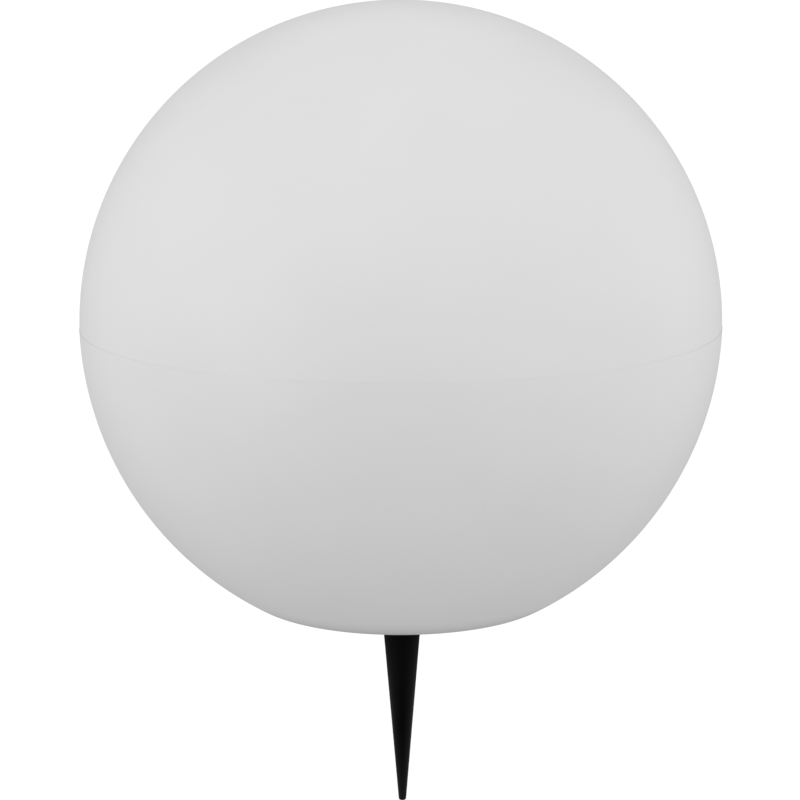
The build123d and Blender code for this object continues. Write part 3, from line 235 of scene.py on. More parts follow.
# %% [markdown]
# ## Lower half of the globe
# The bowl is drawn in a little from the sphere, so its section is one arc of a slightly larger circle. It
# ends in a rounded corner and a flat foot with a recess for the base unit. A shape that is the same all
# round is best made like a pot on a wheel: one half section, carried round the axis.

# %% Half section of the bowl
FOOT_RADIUS = 106.0 * MM
FOOT_FILLET = 52.0 * MM
BOWL_DRAW_IN = 1.5 * MM
RECESS_CLEARANCE = 0.5 * MM
RECESS_RADIUS = FLANGE_RADIUS + RECESS_CLEARANCE
RECESS_EDGE = 0.6 * MM
OPENING_RADIUS = 66.5 * MM
SHOULDER_HEIGHT = 5.0 * MM
SHOULDER_RAMP = 6.0 * MM
FILLET_STEPS = 24
WALL_STEPS = 100
RIM_STEPS = 4
half_angle = -math.atan2(CENTRE_Z, FOOT_RADIUS) / 2
middle = (GLOBE_RADIUS - BOWL_DRAW_IN) * np.array([math.cos(half_angle), math.sin(half_angle)])
middle += [0.0, CENTRE_Z]
foot = np.array([FOOT_RADIUS, 0.0])
rim = np.array([RIM_RADIUS, SEAM_Z])
# The centre of a circle through three points is equally far from each, which is two linear equations.
chords = np.array([middle - foot, rim - middle])
bowl_centre = np.linalg.solve(chords, np.sum(chords * [(middle + foot) / 2, (rim + middle) / 2], axis=1))
BOWL_RADIUS = float(np.linalg.norm(rim - bowl_centre))


def bowl_wall(inset, low_edge, top):
    """Outer face of the bowl moved in by an inset: flat foot, rounded corner and wall, up to a height.

    The corner's circle touches the flat foot and the wall's circle from inside, so its centre lies one
    corner radius over the flat and one corner radius inside the wall.
    """
    radius = BOWL_RADIUS - inset
    fillet = FOOT_FILLET - inset
    rise = inset + fillet - bowl_centre[1]
    fillet_centre = np.array([bowl_centre[0] + math.sqrt((radius - fillet) ** 2 - rise**2), inset + fillet])
    touch = math.degrees(math.atan2(*(fillet_centre - bowl_centre)[::-1]))
    last = math.degrees(math.asin((top - bowl_centre[1]) / radius))
    flat = np.array([[low_edge, inset]])
    corner_arc = arc(fillet_centre, fillet, -90, touch, FILLET_STEPS)
    wall_arc = arc(bowl_centre, radius, touch, last, WALL_STEPS)
    return np.concatenate([flat, corner_arc, wall_arc[1:]])


# %% Turn the bowl
spigot_radius = LAP_RADIUS - LAP_CLEARANCE
spigot_inner = spigot_radius - LAP_WALL
shoulder = SEAM_Z - SHOULDER_HEIGHT
ledge_top = SEAT_TOP + SHELL_WALL
recess = np.array([[OPENING_RADIUS, SEAT_TOP], [RECESS_RADIUS, SEAT_TOP]])
recess_edge = arc((RECESS_RADIUS + RECESS_EDGE, RECESS_EDGE), RECESS_EDGE, 180, 270, EDGE_STEPS)
rim_edge = arc((RIM_RADIUS - RIM_EDGE, SEAM_Z - RIM_EDGE), RIM_EDGE, 0, 90, RIM_STEPS)
spigot = np.array([
    [spigot_radius, SEAM_Z], [spigot_radius, LAP_TOP], [spigot_inner, LAP_TOP], [spigot_inner, shoulder]
])
inner_wall = bowl_wall(SHELL_WALL, RECESS_RADIUS + SHELL_WALL, shoulder - SHOULDER_RAMP)[::-1]
ledge = np.array([[RECESS_RADIUS + SHELL_WALL, ledge_top], [OPENING_RADIUS, ledge_top]])
bowl_profile = np.concatenate([
    recess, recess_edge, bowl_wall(0.0, RECESS_RADIUS + 2 * RECESS_EDGE, SEAM_Z - RIM_EDGE),
    rim_edge, spigot, inner_wall, ledge,
])
globe_bowl = lay_surface("globe_bowl", turned(bowl_profile, COLUMNS))
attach(globe_bowl, "lamp")
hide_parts("lower_bowl")
print(f"bowl arc radius {BOWL_RADIUS:.4f} m")

# %% [markdown]
# ## Ground spike
# The spike is moulded black plastic: a plain taper with a blunt tip, and above the ground line a neck with
# two keys that stop it from turning in its socket. The neck isn't round where the keys are, so its radius
# is a function of the heading as well as of the height.

# %% Half section and keys of the spike
SPIKE_TIP_RADIUS = 2.85 * MM
SPIKE_TIP_FILLET = 1.8 * MM
SPIKE_WALL = 3.5 * MM
SPIKE_SOLID_TIP = 50.0 * MM
SHOULDER_EDGE = 0.4 * MM
NECK_RADIUS = 11.0 * MM
NECK_WALL = 3.2 * MM
NECK_CHAMFER = 1.5 * MM
KEY_WIDTH = 4.0 * MM
KEY_HEIGHT = 1.2 * MM
KEY_SETBACK = 6.0 * MM
KEY_TOP = NECK_TOP - KEY_SETBACK
SPIKE_COLUMNS = 180
TIP_STEPS = 10
CONE_ROWS = 40
CREST_POINTS = 4  # from the middle of a key to its edge
taper = math.atan2(SPIKE_RADIUS - SPIKE_TIP_RADIUS, -SPIKE_TIP_Z)
# The flat tip and the cone meet at a right angle plus the taper, which sets where the rounding starts.
tip_reach = SPIKE_TIP_FILLET * math.tan((math.pi / 2 - taper) / 2)
tip_centre = (SPIKE_TIP_RADIUS - tip_reach, SPIKE_TIP_Z + SPIKE_TIP_FILLET)
tip = arc(tip_centre, SPIKE_TIP_FILLET, -90, -math.degrees(taper), TIP_STEPS)
up_cone = np.linspace(0, 1, CONE_ROWS)[1:, None]
shoulder_low = np.array([SPIKE_RADIUS - SHOULDER_EDGE * math.tan(taper), -SHOULDER_EDGE])
cone = tip[-1] + up_cone * (shoulder_low - tip[-1])
shoulder_centre = (SPIKE_RADIUS - SHOULDER_EDGE, -SHOULDER_EDGE)
shoulder_arc = arc(shoulder_centre, SHOULDER_EDGE, 0, 90, EDGE_STEPS)
neck = np.array([
    [NECK_RADIUS, 0.0], [NECK_RADIUS, KEY_TOP], [NECK_RADIUS, KEY_TOP],
    [NECK_RADIUS, NECK_TOP - NECK_CHAMFER], [NECK_RADIUS - NECK_CHAMFER, NECK_TOP],
])
core_radius = NECK_RADIUS - NECK_WALL
core_low = SPIKE_TIP_Z + SPIKE_SOLID_TIP
core_tip = SPIKE_RADIUS + core_low * math.tan(taper) - SPIKE_WALL
core = np.array([[core_radius, NECK_TOP], [core_radius, 0.0], [core_tip, core_low], [0.0, core_low]])
spike_profile = np.concatenate([[[0.0, SPIKE_TIP_Z]], tip, cone, shoulder_arc, neck, core])
first_neck_row = len(spike_profile) - len(neck) - len(core)
keyed_rows = [first_neck_row, first_neck_row + 1]


# %% Turn the spike
def key_outline(columns):
    """Headings and radii round the keyed neck.

    A key is a slab across the axis cut to a circle: inside its half width the outline is the outer
    circle, outside it is the neck, and the slab's face runs between the headings of its two corners.
    """
    outer = NECK_RADIUS + KEY_HEIGHT
    crest = math.asin(KEY_WIDTH / 2 / outer)
    root = math.asin(KEY_WIDTH / 2 / NECK_RADIUS)
    neck_points = columns // 4 - CREST_POINTS
    crest_part = np.linspace(0, crest, CREST_POINTS)
    neck_part = np.linspace(root, math.pi / 2, neck_points)
    first = np.concatenate([crest_part, neck_part])
    radius = np.concatenate([np.full(CREST_POINTS, outer), np.full(neck_points, NECK_RADIUS)])
    half = np.concatenate([first, math.pi - first[-2::-1]])
    half_radius = np.concatenate([radius, radius[-2::-1]])
    whole = np.concatenate([half, 2 * math.pi - half[-2:0:-1]])
    return whole, np.concatenate([half_radius, half_radius[-2:0:-1]])


spike_turn, keyed_radius = key_outline(SPIKE_COLUMNS)
spike_radius = np.repeat(spike_profile[:, :1], len(spike_turn), axis=1)
spike_radius[keyed_rows] = keyed_radius
spike_height = np.broadcast_to(spike_profile[:, 1, None], spike_radius.shape)
spike_across = [spike_radius * np.cos(spike_turn), spike_radius * np.sin(spike_turn)]
spike_grid = np.stack([*spike_across, spike_height], axis=-1)
spike_stake = lay_surface("spike_stake", spike_grid, close_rows=False)
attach(spike_stake, "spike")
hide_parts("ground_spike")

# %% [markdown]
# ## Sheet over the solar panel
# The panel is closed by a disc of clear sheet. In the solid model its underside touches the wafers, and a
# renderer can't tell which of two touching faces comes first, which shows as dark blotches. So the disc is
# made anew with a breath of air under it and a lightly rounded edge, on rings about the panel's axis.

# %% Lay the sheet
SHEET_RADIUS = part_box("solar_cover")[1].x
SHEET_THICKNESS = 2.0 * MM
SHEET_AIR = 0.05 * MM  # over the wafers
SHEET_EDGE = 0.3 * MM
sheet_underside = SHEET_AIR - SHEET_THICKNESS
sheet_floor = np.array([[0.0, sheet_underside], [SHEET_RADIUS, sheet_underside]])
sheet_edge = arc((SHEET_RADIUS - SHEET_EDGE, -SHEET_EDGE), SHEET_EDGE, 0, 90, EDGE_STEPS)
sheet_profile = np.concatenate([sheet_floor, sheet_edge, [[0.0, 0.0]]])
panel_sheet = lay_surface("panel_sheet", about_panel(sheet_profile), close_rows=False)
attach(panel_sheet, "lamp")
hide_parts("solar_cover")

# %% [markdown]
# ## Finishes
# A finish is a small network of shader nodes. One function adds a node, sets it and links it, so that a
# material reads as a list of what it is made of. Colours are written as the screen values that a painter
# would pick, and turned to the linear values that light adds up in.


# %% Node helpers
def linear(colour):
    """Linear RGBA from an sRGB hex colour such as E6E6E6.

    Near black a screen value is a straight multiple of the light, and above that it follows a power.
    """
    screen = np.array([int(colour[i:i + 2], 16) for i in (0, 2, 4)]) / 255
    light = np.where(screen <= 0.04045, screen / 12.92, ((screen + 0.055) / 1.055) ** 2.4)
    return (*light.tolist(), 1.0)


def add(tree, kind, values=None, links=None, **settings):
    """Adds a shader node, with its settings, the values of its sockets and the outputs that feed them."""
    made = tree.nodes.new("ShaderNode" + kind)
    for name, value in settings.items():
        setattr(made, name, value)
    for name, value in (values or {}).items():
        made.inputs[name].default_value = value
    for name, output in (links or {}).items():
        tree.links.new(output, made.inputs[name])
    return made


def per_size(size_mm):
    """Texture scale whose pattern repeats about once in a real size, for coordinates in metres."""
    return 1 / (size_mm * MM)


def start_material(name, colour, **sockets):
    """Material with one principled shader of a plain colour; other sockets are set by name."""
    material = bpy.data.materials.new(name)
    material.use_nodes = True
    tree = material.node_tree
    shader = tree.nodes["Principled BSDF"]
    shader.inputs["Base Color"].default_value = linear(colour)
    for socket, value in sockets.items():
        shader.inputs[socket.replace("_", " ")].default_value = value
    place = add(tree, "TexCoord").outputs["Object"]
    return material, tree, shader, place


# %% Surface helpers
NOISE_LOW = 0.3  # nearly all values of a noise texture lie between these two
NOISE_HIGH = 0.7


def cloud_colour(tree, shader, place, dark, light, patch_mm):
    """Slow drift between two close colours, as pigment and age give a moulded surface."""
    noise = add(tree, "TexNoise", {"Scale": per_size(patch_mm), "Detail": 3.0}, {"Vector": place})
    ramp = add(tree, "ValToRGB", links={"Fac": noise.outputs["Fac"]})
    ramp.color_ramp.elements[0].color = linear(dark)
    ramp.color_ramp.elements[0].position = NOISE_LOW
    ramp.color_ramp.elements[1].color = linear(light)
    ramp.color_ramp.elements[1].position = NOISE_HIGH
    tree.links.new(ramp.outputs["Color"], shader.inputs["Base Color"])
    return ramp


def share_by_height(tree, place, first_mm, last_mm, power):
    """Share that grows as a power of the way from nothing at a first height to all at a last one."""
    height = add(tree, "SeparateXYZ", links={"Vector": place}).outputs["Z"]
    limits = {"From Min": first_mm * MM, "From Max": last_mm * MM}
    way = add(tree, "MapRange", limits, {"Value": height})
    return add(tree, "Math", {1: power}, {0: way.outputs["Result"]}, operation="POWER").outputs["Value"]


def uneven_gloss(tree, shader, place, low, high, patch_mm):
    """Roughness that wanders between two values, as handling and mould polish leave it."""
    noise = add(tree, "TexNoise", {"Scale": per_size(patch_mm), "Detail": 4.0}, {"Vector": place})
    limits = {"From Min": NOISE_LOW, "From Max": NOISE_HIGH, "To Min": low, "To Max": high}
    spread = add(tree, "MapRange", limits, {"Value": noise.outputs["Fac"]})
    tree.links.new(spread.outputs["Result"], shader.inputs["Roughness"])


def fine_relief(tree, shader, place, grit_mm, depth_mm):
    """Bump of a fine grit, such as orange peel or spark grain, of a real size and depth."""
    noise = add(tree, "TexNoise", {"Scale": per_size(grit_mm), "Detail": 2.0}, {"Vector": place})
    bump = add(tree, "Bump", {"Distance": depth_mm * MM, "Strength": 1.0}, {"Height": noise.outputs["Fac"]})
    tree.links.new(bump.outputs["Normal"], shader.inputs["Normal"])


def dress(material, *names):
    """Gives a material to pieces or solid nodes by name."""
    for name in names:
        owner = bpy.data.objects[name]
        owner.data.materials.clear()
        owner.data.materials.append(material)
    print(f"{material.name}: {', '.join(names)}")


# %% [markdown]
# ## Opal polyethylene
# The globe is blow-moulded polyethylene filled with white pigment. It is satin, not glossy, and light
# that enters it scatters, which softens every edge. The mould leaves a faint orange peel, and thick and
# thin places make the white drift by less than a shade. Painted shade greys the foot, next to the ground,
# and darkens the narrow ledge at the seam, most at the two sides.

# %% Opal globe
LEDGE_SHADE_DEPTH = 0.005 * MM  # reach of the painted shade over and under the ledge's top
LEDGE_SHADE_POWER = 8.0  # how fast the painted shade thins out from the sides to the front


def opal_polyethylene():
    """Neutral satin white with a faint orange peel, with painted shade at its foot and on the ledge at its
    seam.
    """
    material, tree, shader, place = start_material("opal_polyethylene", "E6E6E6", IOR=1.5)
    drift = cloud_colour(tree, shader, place, "E5E5E5", "E7E7E7", patch_mm=90.0)
    uneven_gloss(tree, shader, place, low=0.46, high=0.54, patch_mm=25.0)
    fine_relief(tree, shader, place, grit_mm=2.5, depth_mm=0.01)
    # Painted shade: the white turns grey over the lowest 20 mm, as the shade next to the ground.
    foot_shade_share = share_by_height(tree, place, first_mm=20.0, last_mm=0.0, power=2.0)
    foot_shaded = add(
        tree, "MixRGB", {"Color2": linear("BBBBBB")}, {"Fac": foot_shade_share, "Color1": drift.outputs["Color"]},
    )
    # Painted shade: the ledge at the seam is darkened, most at the two sides, least in front and behind.
    axes = add(tree, "SeparateXYZ", links={"Vector": place})
    on_ledge = add(tree, "Math", {1: SEAM_Z, 2: LEDGE_SHADE_DEPTH}, {0: axes.outputs["Z"]}, operation="COMPARE")
    aside = add(tree, "Math", {1: GLOBE_RADIUS}, {0: axes.outputs["X"]}, operation="DIVIDE")
    ledge_shade_by_side = add(tree, "Math", {1: LEDGE_SHADE_POWER}, {0: aside.outputs["Value"]}, operation="POWER")
    ledge_shade_share = add(
        tree, "Math", links={0: on_ledge.outputs["Value"], 1: ledge_shade_by_side.outputs["Value"]},
        operation="MULTIPLY",
    )
    ledge_shaded = add(
        tree, "MixRGB", {"Color2": linear("A0A0A0")},
        {"Fac": ledge_shade_share.outputs["Value"], "Color1": foot_shaded.outputs["Color"]},
    )
    tree.links.new(ledge_shaded.outputs["Color"], shader.inputs["Base Color"])
    return material


dress(opal_polyethylene(), "globe_dome", "globe_bowl")

# %% [markdown]
# ## Black plastics and rubber
# The spike is deep black polypropylene, satin where it leaves the globe. Soil rubs it, so it is more
# polished further down, and painted floor light greys its tip. The base unit and the panel's tray are ABS
# from a spark-eroded mould, whose fine grain scatters light to a dark grey. Seals and grommets are matt
# rubber.


# %% Black parts
def black_polypropylene():
    """Deep black and satin with very shallow flow marks, polished downwards, and greyed towards the tip by
    painted floor light.
    """
    material, tree, shader, place = start_material("black_polypropylene", "060607", IOR=1.49)
    shader.inputs["Specular IOR Level"].default_value = 0.05
    # Painted light: the black turns grey towards the tip, as light from the floor below.
    floor_light_share = share_by_height(tree, place, first_mm=-90.0, last_mm=-160.0, power=2.0)
    floor_lit_black = add(tree, "MixRGB", {"Color1": linear("060607"), "Color2": linear("1C1C1D")}, {"Fac": floor_light_share})
    tree.links.new(floor_lit_black.outputs["Color"], shader.inputs["Base Color"])
    rubbed = share_by_height(tree, place, first_mm=-25.0, last_mm=-90.0, power=1.0)
    polish = add(tree, "MapRange", {"To Min": 0.66, "To Max": 0.3}, {"Value": rubbed})
    tree.links.new(polish.outputs["Result"], shader.inputs["Roughness"])
    fine_relief(tree, shader, place, grit_mm=3.0, depth_mm=0.012)
    return material


def spark_grained_abs():
    """Charcoal black with the pebbled grain of a spark-eroded mould, drawn a little coarse to show."""
    material, tree, shader, place = start_material("spark_grained_abs", "19191A", IOR=1.53)
    cloud_colour(tree, shader, place, "161617", "1D1D1E", patch_mm=20.0)
    uneven_gloss(tree, shader, place, low=0.48, high=0.6, patch_mm=15.0)
    fine_relief(tree, shader, place, grit_mm=0.6, depth_mm=0.05)
    return material


def sealing_rubber():
    """Matt grey-black rubber."""
    material, tree, shader, place = start_material("sealing_rubber", "1B1B1C", IOR=1.52)
    uneven_gloss(tree, shader, place, low=0.68, high=0.8, patch_mm=6.0)
    fine_relief(tree, shader, place, grit_mm=0.5, depth_mm=0.02)
    return material


def pvc_sheath():
    """Flexible black sheath of leads and wires."""
    material, tree, shader, place = start_material("pvc_sheath", "141415", IOR=1.54)
    uneven_gloss(tree, shader, place, low=0.36, high=0.46, patch_mm=8.0)
    return material


def button_elastomer():
    """Dark grey moulded elastomer of the push button."""
    material, tree, shader, place = start_material("button_elastomer", "55575A", IOR=1.5)
    cloud_colour(tree, shader, place, "515356", "595B5E", patch_mm=6.0)
    uneven_gloss(tree, shader, place, low=0.5, high=0.6, patch_mm=3.0)
    fine_relief(tree, shader, place, grit_mm=0.4, depth_mm=0.02)
    return material


dress(black_polypropylene(), "spike_stake")
dress(spark_grained_abs(), "base_housing", "battery_cover", "solar_tray")
dress(
    sealing_rubber(), "seam_seal", "solar_gasket", "panel_grommet", "base_grommet", "base_gasket",
    "battery_cover_seal", "button_seal",
)
dress(pvc_sheath(), "panel_lead", "battery_wires", "led_wires")
dress(button_elastomer(), "power_button")

# %% [markdown]
# ## Solar panel
# Each wafer is blue silicon printed with silver: two bars along it and fine fingers across it. The
# print is thinner than a hair, so it belongs in the material. Its lines follow the panel, so the
# coordinates are first turned into the panel's own, and a folded ruler gives the distance to a line.

# %% Silicon and its cover
WAFER_PITCH = 19.0 * MM
BAR_WIDTH = 1.2 * MM
FINGER_PITCH = 2.0 * MM
FINGER_WIDTH = 0.16 * MM
CRYSTAL_MM = 14.0


def printed_silicon():
    """Blue wafers, dulled by a coating, with silver bars and fingers in the panel's own directions."""
    material, tree, shader, place = start_material("printed_silicon", "1B3584", IOR=1.5)
    shader.inputs["Roughness"].default_value = 0.28
    shader.inputs["Specular IOR Level"].default_value = 0.15
    panel_place = {"Location": globe_centre + FACET * panel_axis}
    panel_place["Rotation"] = (PANEL_TILT - math.pi / 2, 0, 0)
    turned_place = add(tree, "Mapping", panel_place, {"Vector": place}, vector_type="TEXTURE")
    axes = add(tree, "SeparateXYZ", links={"Vector": turned_place.outputs["Vector"]})
    bar_ruler = add(tree, "Math", {1: WAFER_PITCH / 4}, {0: axes.outputs["Y"]}, operation="ADD")
    bar_distance = add(
        tree, "Math", {1: WAFER_PITCH / 4}, {0: bar_ruler.outputs["Value"]}, operation="PINGPONG",
    )
    finger_distance = add(tree, "Math", {1: FINGER_PITCH / 2}, {0: axes.outputs["X"]}, operation="PINGPONG")
    bar = add(
        tree, "Math", {1: BAR_WIDTH / 2}, {0: bar_distance.outputs["Value"]}, operation="LESS_THAN",
    )
    finger = add(
        tree, "Math", {1: FINGER_WIDTH / 2}, {0: finger_distance.outputs["Value"]}, operation="LESS_THAN",
    )
    silver = add(
        tree, "Math", links={0: bar.outputs["Value"], 1: finger.outputs["Value"]}, operation="MAXIMUM",
    )
    crystal = add(tree, "TexNoise", {"Scale": per_size(CRYSTAL_MM), "Detail": 2.0}, {"Vector": place})
    blue = add(tree, "ValToRGB", links={"Fac": crystal.outputs["Fac"]})
    blue.color_ramp.elements[0].color = linear("15296C")
    blue.color_ramp.elements[1].color = linear("234096")
    print_colour = add(
        tree, "MixRGB", {"Color2": linear("A8ADB2")},
        {"Fac": silver.outputs["Value"], "Color1": blue.outputs["Color"]},
    )
    tree.links.new(print_colour.outputs["Color"], shader.inputs["Base Color"])
    return material


def black_backsheet():
    """Matt black laminate behind the wafers."""
    material, tree, shader, place = start_material("black_backsheet", "121315", IOR=1.5)
    uneven_gloss(tree, shader, place, low=0.5, high=0.62, patch_mm=10.0)
    fine_relief(tree, shader, place, grit_mm=0.8, depth_mm=0.005)
    return material


def clear_acrylic():
    """Clear sheet, polished, with faint weather haze."""
    material, tree, shader, place = start_material("clear_acrylic", "F4F7F8", IOR=1.49)
    shader.inputs["Transmission Weight"].default_value = 1.0
    uneven_gloss(tree, shader, place, low=0.04, high=0.09, patch_mm=18.0)
    return material


dress(printed_silicon(), "solar_cells")
dress(black_backsheet(), "solar_backsheet")
dress(clear_acrylic(), "panel_sheet")
# Light would find its way through the sheet only by chance, which leaves grain, so it passes unhindered.
panel_sheet.visible_shadow = False
panel_sheet.visible_diffuse = False
panel_sheet.visible_glossy = False

# %% [markdown]
# ## Metals
# Screws are zinc-plated steel, contacts are nickel-plated spring steel and the capacitor is a drawn
# aluminium can. A metal has no colour of its own beyond its reflection, so its base colour is what it
# reflects, and its polish is what differs.


# %% Metal parts
def plated_metal(name, colour, low, high, grain_mm):
    """Plated or drawn metal: full metallic, with a roughness that wanders over a grain size."""
    material, tree, shader, place = start_material(name, colour, Metallic=1.0)
    uneven_gloss(tree, shader, place, low, high, grain_mm)
    return material


dress(
    plated_metal("zinc_plated_steel", "C4C6C8", low=0.26, high=0.4, grain_mm=1.5),
    "solar_washers", "solar_screws", "base_screws", "battery_cover_screws", "button_clip", "board_screws",
    "deck_screws", "led_screws",
)
dress(
    plated_metal("nickel_plated_steel", "CFC8BC", low=0.18, high=0.3, grain_mm=2.0),
    "battery_plus_terminal", "battery_minus_terminal", "battery_bridge",
)
dress(plated_metal("drawn_aluminium", "C9CBCE", low=0.3, high=0.42, grain_mm=3.0), "storage_capacitor")

# %% [markdown]
# ## Inside the base unit
# Nothing of this shows until the lamp is opened, but each piece still gets what it is made of: white ABS,
# green solder mask, moulded epoxy, sleeves of shrunk film, phosphor gel and a frosted cap.


# %% Inner parts
def moulded_plastic(name, colour, dark, light, low, high, grit_mm):
    """Small moulded or coated piece with a slight drift of colour, uneven gloss and a fine relief."""
    material, tree, shader, place = start_material(name, colour, IOR=1.5)
    cloud_colour(tree, shader, place, dark, light, patch_mm=12.0)
    uneven_gloss(tree, shader, place, low, high, patch_mm=5.0)
    fine_relief(tree, shader, place, grit_mm, depth_mm=0.01)
    return material


dress(
    moulded_plastic("white_abs", "E6E6E3", "E2E2DF", "EAEAE7", low=0.42, high=0.52, grit_mm=0.8),
    "lamp_deck", "lead_connector", "lead_clips",
)
dress(
    moulded_plastic("green_solder_mask", "1F5A33", "1B5230", "246339", low=0.3, high=0.4, grit_mm=0.6),
    "circuit_board",
)
dress(
    moulded_plastic("white_solder_mask", "E9EAEA", "E5E6E6", "EDEEEE", low=0.34, high=0.44, grit_mm=0.6),
    "led_board",
)
dress(
    moulded_plastic("moulded_epoxy", "2A2A2C", "262628", "2F2F31", low=0.5, high=0.62, grit_mm=0.3),
    "charge_controller", "boost_coil", "switch_body", "switch_plunger",
)
dress(
    moulded_plastic("shrunk_film_sleeve", "3F7A55", "3A7350", "45825B", low=0.26, high=0.36, grit_mm=2.0),
    "battery_cell_1", "battery_cell_2",
)
dress(
    moulded_plastic("phosphor_gel", "EBD76A", "E5CF5C", "F0DE78", low=0.2, high=0.3, grit_mm=0.4),
    "led_chips",
)
dress(
    moulded_plastic("frosted_polystyrene", "EDEDED", "E9E9E9", "F1F1F1", low=0.55, high=0.65, grit_mm=0.5),
    "led_diffuser",
)

# %% [markdown]
# ## Floor, light and camera
# The photograph is a product picture on plain white, so the floor and the surroundings are white to the
# camera. The lamp itself is lit by a soft room that is brighter above and at the sides than behind and
# below, by a soft box at each front corner and by one behind the top, which shape the globe and its
# rim. The floor is seen from above only, so that the underside can be looked at from below.

# %% Floor
FLOOR_HALF = 15.0
PAPER_WHITE = 1.05  # just past full white, so that no grain shows in it
floor_mesh = bpy.data.meshes.new("floor")
floor_corners = FLOOR_HALF * np.array([[-1, -1], [1, -1], [1, 1], [-1, 1]])
floor_mesh.from_pydata([(x, y, SPIKE_TIP_Z) for x, y in floor_corners.tolist()], [], [(0, 1, 2, 3)])
floor = bpy.data.objects.new("floor", floor_mesh)
bpy.context.scene.collection.objects.link(floor)
paper = bpy.data.materials.new("lit_white_paper")
paper.use_nodes = True
paper_tree = paper.node_tree
paper_tree.nodes.clear()
glow = add(paper_tree, "Emission", {"Color": linear("FFFFFF"), "Strength": PAPER_WHITE})
nothing = add(paper_tree, "BsdfTransparent")
side = add(paper_tree, "NewGeometry")
one_sided = add(
    paper_tree, "MixShader",
    links={0: side.outputs["Backfacing"], 1: glow.outputs["Emission"], 2: nothing.outputs["BSDF"]},
)
add(paper_tree, "OutputMaterial", links={"Surface": one_sided.outputs["Shader"]})
floor_mesh.materials.append(paper)
floor.visible_diffuse = False
floor.visible_glossy = False
floor.visible_transmission = False
floor.visible_shadow = False
print(f"floor {2 * FLOOR_HALF:.0f} m wide, {-SPIKE_TIP_Z:.4f} m under the ground line")

# %% Room
ROOM_FRONT = {"low": 0.15, "low sides": 0.517, "top": 0.906}  # brightness of the room in front
ROOM_BACK = 0.34  # and behind
ROOM_SIDES = {"left": 0.945, "right": 1.037}  # and to the sides
ROOM_FLOOR = 0.52  # and straight below
MIDDLE_TO_ASIDE = (0.1, 0.7)  # spans of a direction's parts over which one brightness turns to the next
LOW_TO_TOP = (-0.3, 0.3)
FRONT_TO_BACK = (0.2, 0.8)
LEFT_TO_WALLS = (-0.95, -0.45)
WALLS_TO_RIGHT = (0.45, 0.95)
FLOOR_TO_WALLS = (-0.9, -0.4)
world = bpy.data.worlds.new("white_room")
bpy.context.scene.world = world
world.use_nodes = True
room = world.node_tree
room.nodes.clear()
direction = add(room, "SeparateXYZ", links={"Vector": add(room, "TexCoord").outputs["Generated"]})


def fade(value, span, low, high):
    """Smooth change over a span of a direction, between two ends that are numbers or other outputs.

    The way along the span, from 0 to 1, is eased by three times its square less twice its cube.
    """
    values = {"From Min": span[0], "From Max": span[1]}
    links = {"Value": value}
    for socket, end in (("To Min", low), ("To Max", high)):
        kind = values if isinstance(end, float) else links
        kind[socket] = end
    return add(room, "MapRange", values, links, interpolation_type="SMOOTHSTEP").outputs["Result"]


across = direction.outputs["X"]
upward = direction.outputs["Z"]
from_middle = add(room, "Math", links={0: across}, operation="ABSOLUTE").outputs["Value"]
front_low = fade(from_middle, MIDDLE_TO_ASIDE, ROOM_FRONT["low"], ROOM_FRONT["low sides"])
front_room = fade(upward, LOW_TO_TOP, front_low, ROOM_FRONT["top"])
walls = fade(direction.outputs["Y"], FRONT_TO_BACK, front_room, ROOM_BACK)
left_side = fade(across, LEFT_TO_WALLS, ROOM_SIDES["left"], walls)
right_side = fade(across, WALLS_TO_RIGHT, left_side, ROOM_SIDES["right"])
brightness = fade(upward, FLOOR_TO_WALLS, ROOM_FLOOR, right_side)
dim_room = add(room, "Background", {"Color": linear("FFFFFF")}, {"Strength": brightness})
white = add(room, "Background", {"Color": linear("FFFFFF"), "Strength": PAPER_WHITE})
seen = add(room, "LightPath").outputs["Is Camera Ray"]
both = add(
    room, "MixShader", links={0: seen, 1: dim_room.outputs["Background"], 2: white.outputs["Background"]},
)
add(room, "OutputWorld", links={"Surface": both.outputs["Shader"]})
print(f"room of {len(room.nodes)} nodes, {ROOM_BACK} behind to {ROOM_SIDES['right']} at the right")

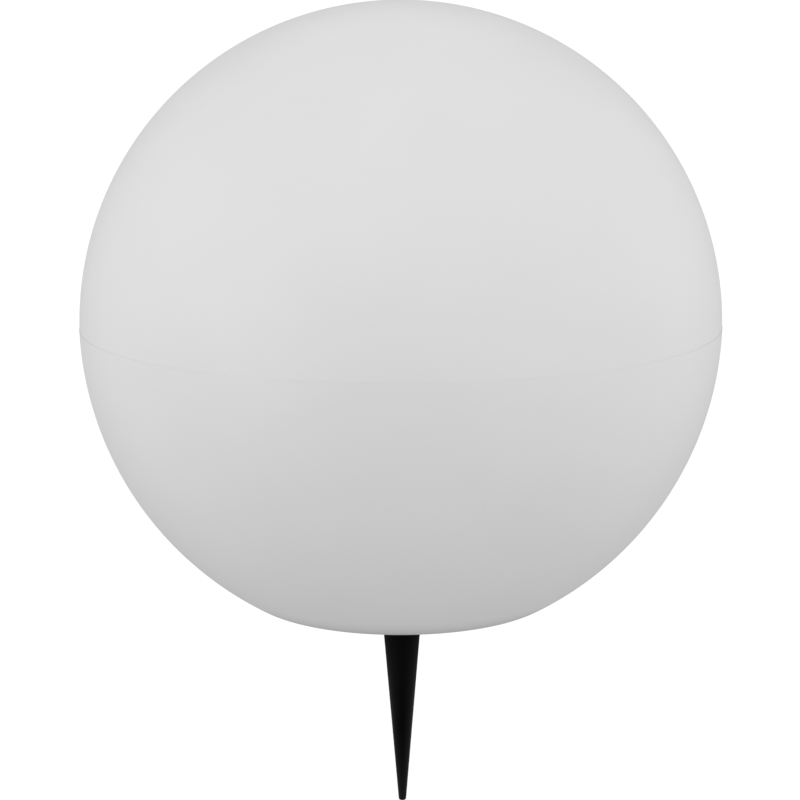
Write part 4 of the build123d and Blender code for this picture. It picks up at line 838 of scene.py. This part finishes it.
# %% Soft boxes
SOFT_BOXES = {
    "left_box": {"place": (-2.2, -2.2, 0.4), "size": 1.8, "power": 11.9},
    "right_box": {"place": (2.2, -2.2, 0.4), "size": 1.8, "power": 6.5},
    "back_top_box": {"place": (0.0, 1.8, 2.2), "size": 1.6, "power": 4.2},
}


def soft_box(name, place, size, power):
    """Square area light that looks at the globe's centre and stays out of the picture."""
    lamp = bpy.data.lights.new(name, "AREA")
    lamp.size = size
    lamp.energy = power
    owner = bpy.data.objects.new(name, lamp)
    bpy.context.scene.collection.objects.link(owner)
    owner.location = place
    owner.rotation_mode = "QUATERNION"
    owner.rotation_quaternion = (Vector(place) - Vector(globe_centre)).to_track_quat("Z", "Y")
    owner.visible_camera = False
    print(f"{name}: {power} W, {size} m wide")


for box_name, box_values in SOFT_BOXES.items():
    soft_box(box_name, **box_values)

# %% Camera
PICTURE_SIDE = 800.0  # pixels
FOCAL_PIXELS = 3843.0
GLOBE_PIXEL = (401.1, 321.6)  # where the globe's centre falls in the picture
CAMERA_DISTANCE = 3.0
CAMERA_RISE = math.radians(9.81)
CAMERA_ROLL = math.radians(-0.2)
camera_data = bpy.data.cameras.new("camera")
camera_data.lens = FOCAL_PIXELS / PICTURE_SIDE * camera_data.sensor_width
camera = bpy.data.objects.new("camera", camera_data)
bpy.context.scene.collection.objects.link(camera)
bpy.context.scene.camera = camera
away = np.array([0.0, -math.cos(CAMERA_RISE), math.sin(CAMERA_RISE)])
camera.location = globe_centre + CAMERA_DISTANCE * away
pitch = CAMERA_RISE + math.atan((PICTURE_SIDE / 2 - GLOBE_PIXEL[1]) / FOCAL_PIXELS)
swing = math.atan((GLOBE_PIXEL[0] - PICTURE_SIDE / 2) / FOCAL_PIXELS)
camera.rotation_mode = "QUATERNION"
level_turn = Euler((math.pi / 2 - pitch, 0.0, swing)).to_quaternion()
camera.rotation_quaternion = level_turn @ Quaternion((0.0, 0.0, 1.0), CAMERA_ROLL)
bpy.context.scene.view_settings.view_transform = "Standard"
print(f"camera {CAMERA_DISTANCE} m away, lens {camera_data.lens:.1f} mm")
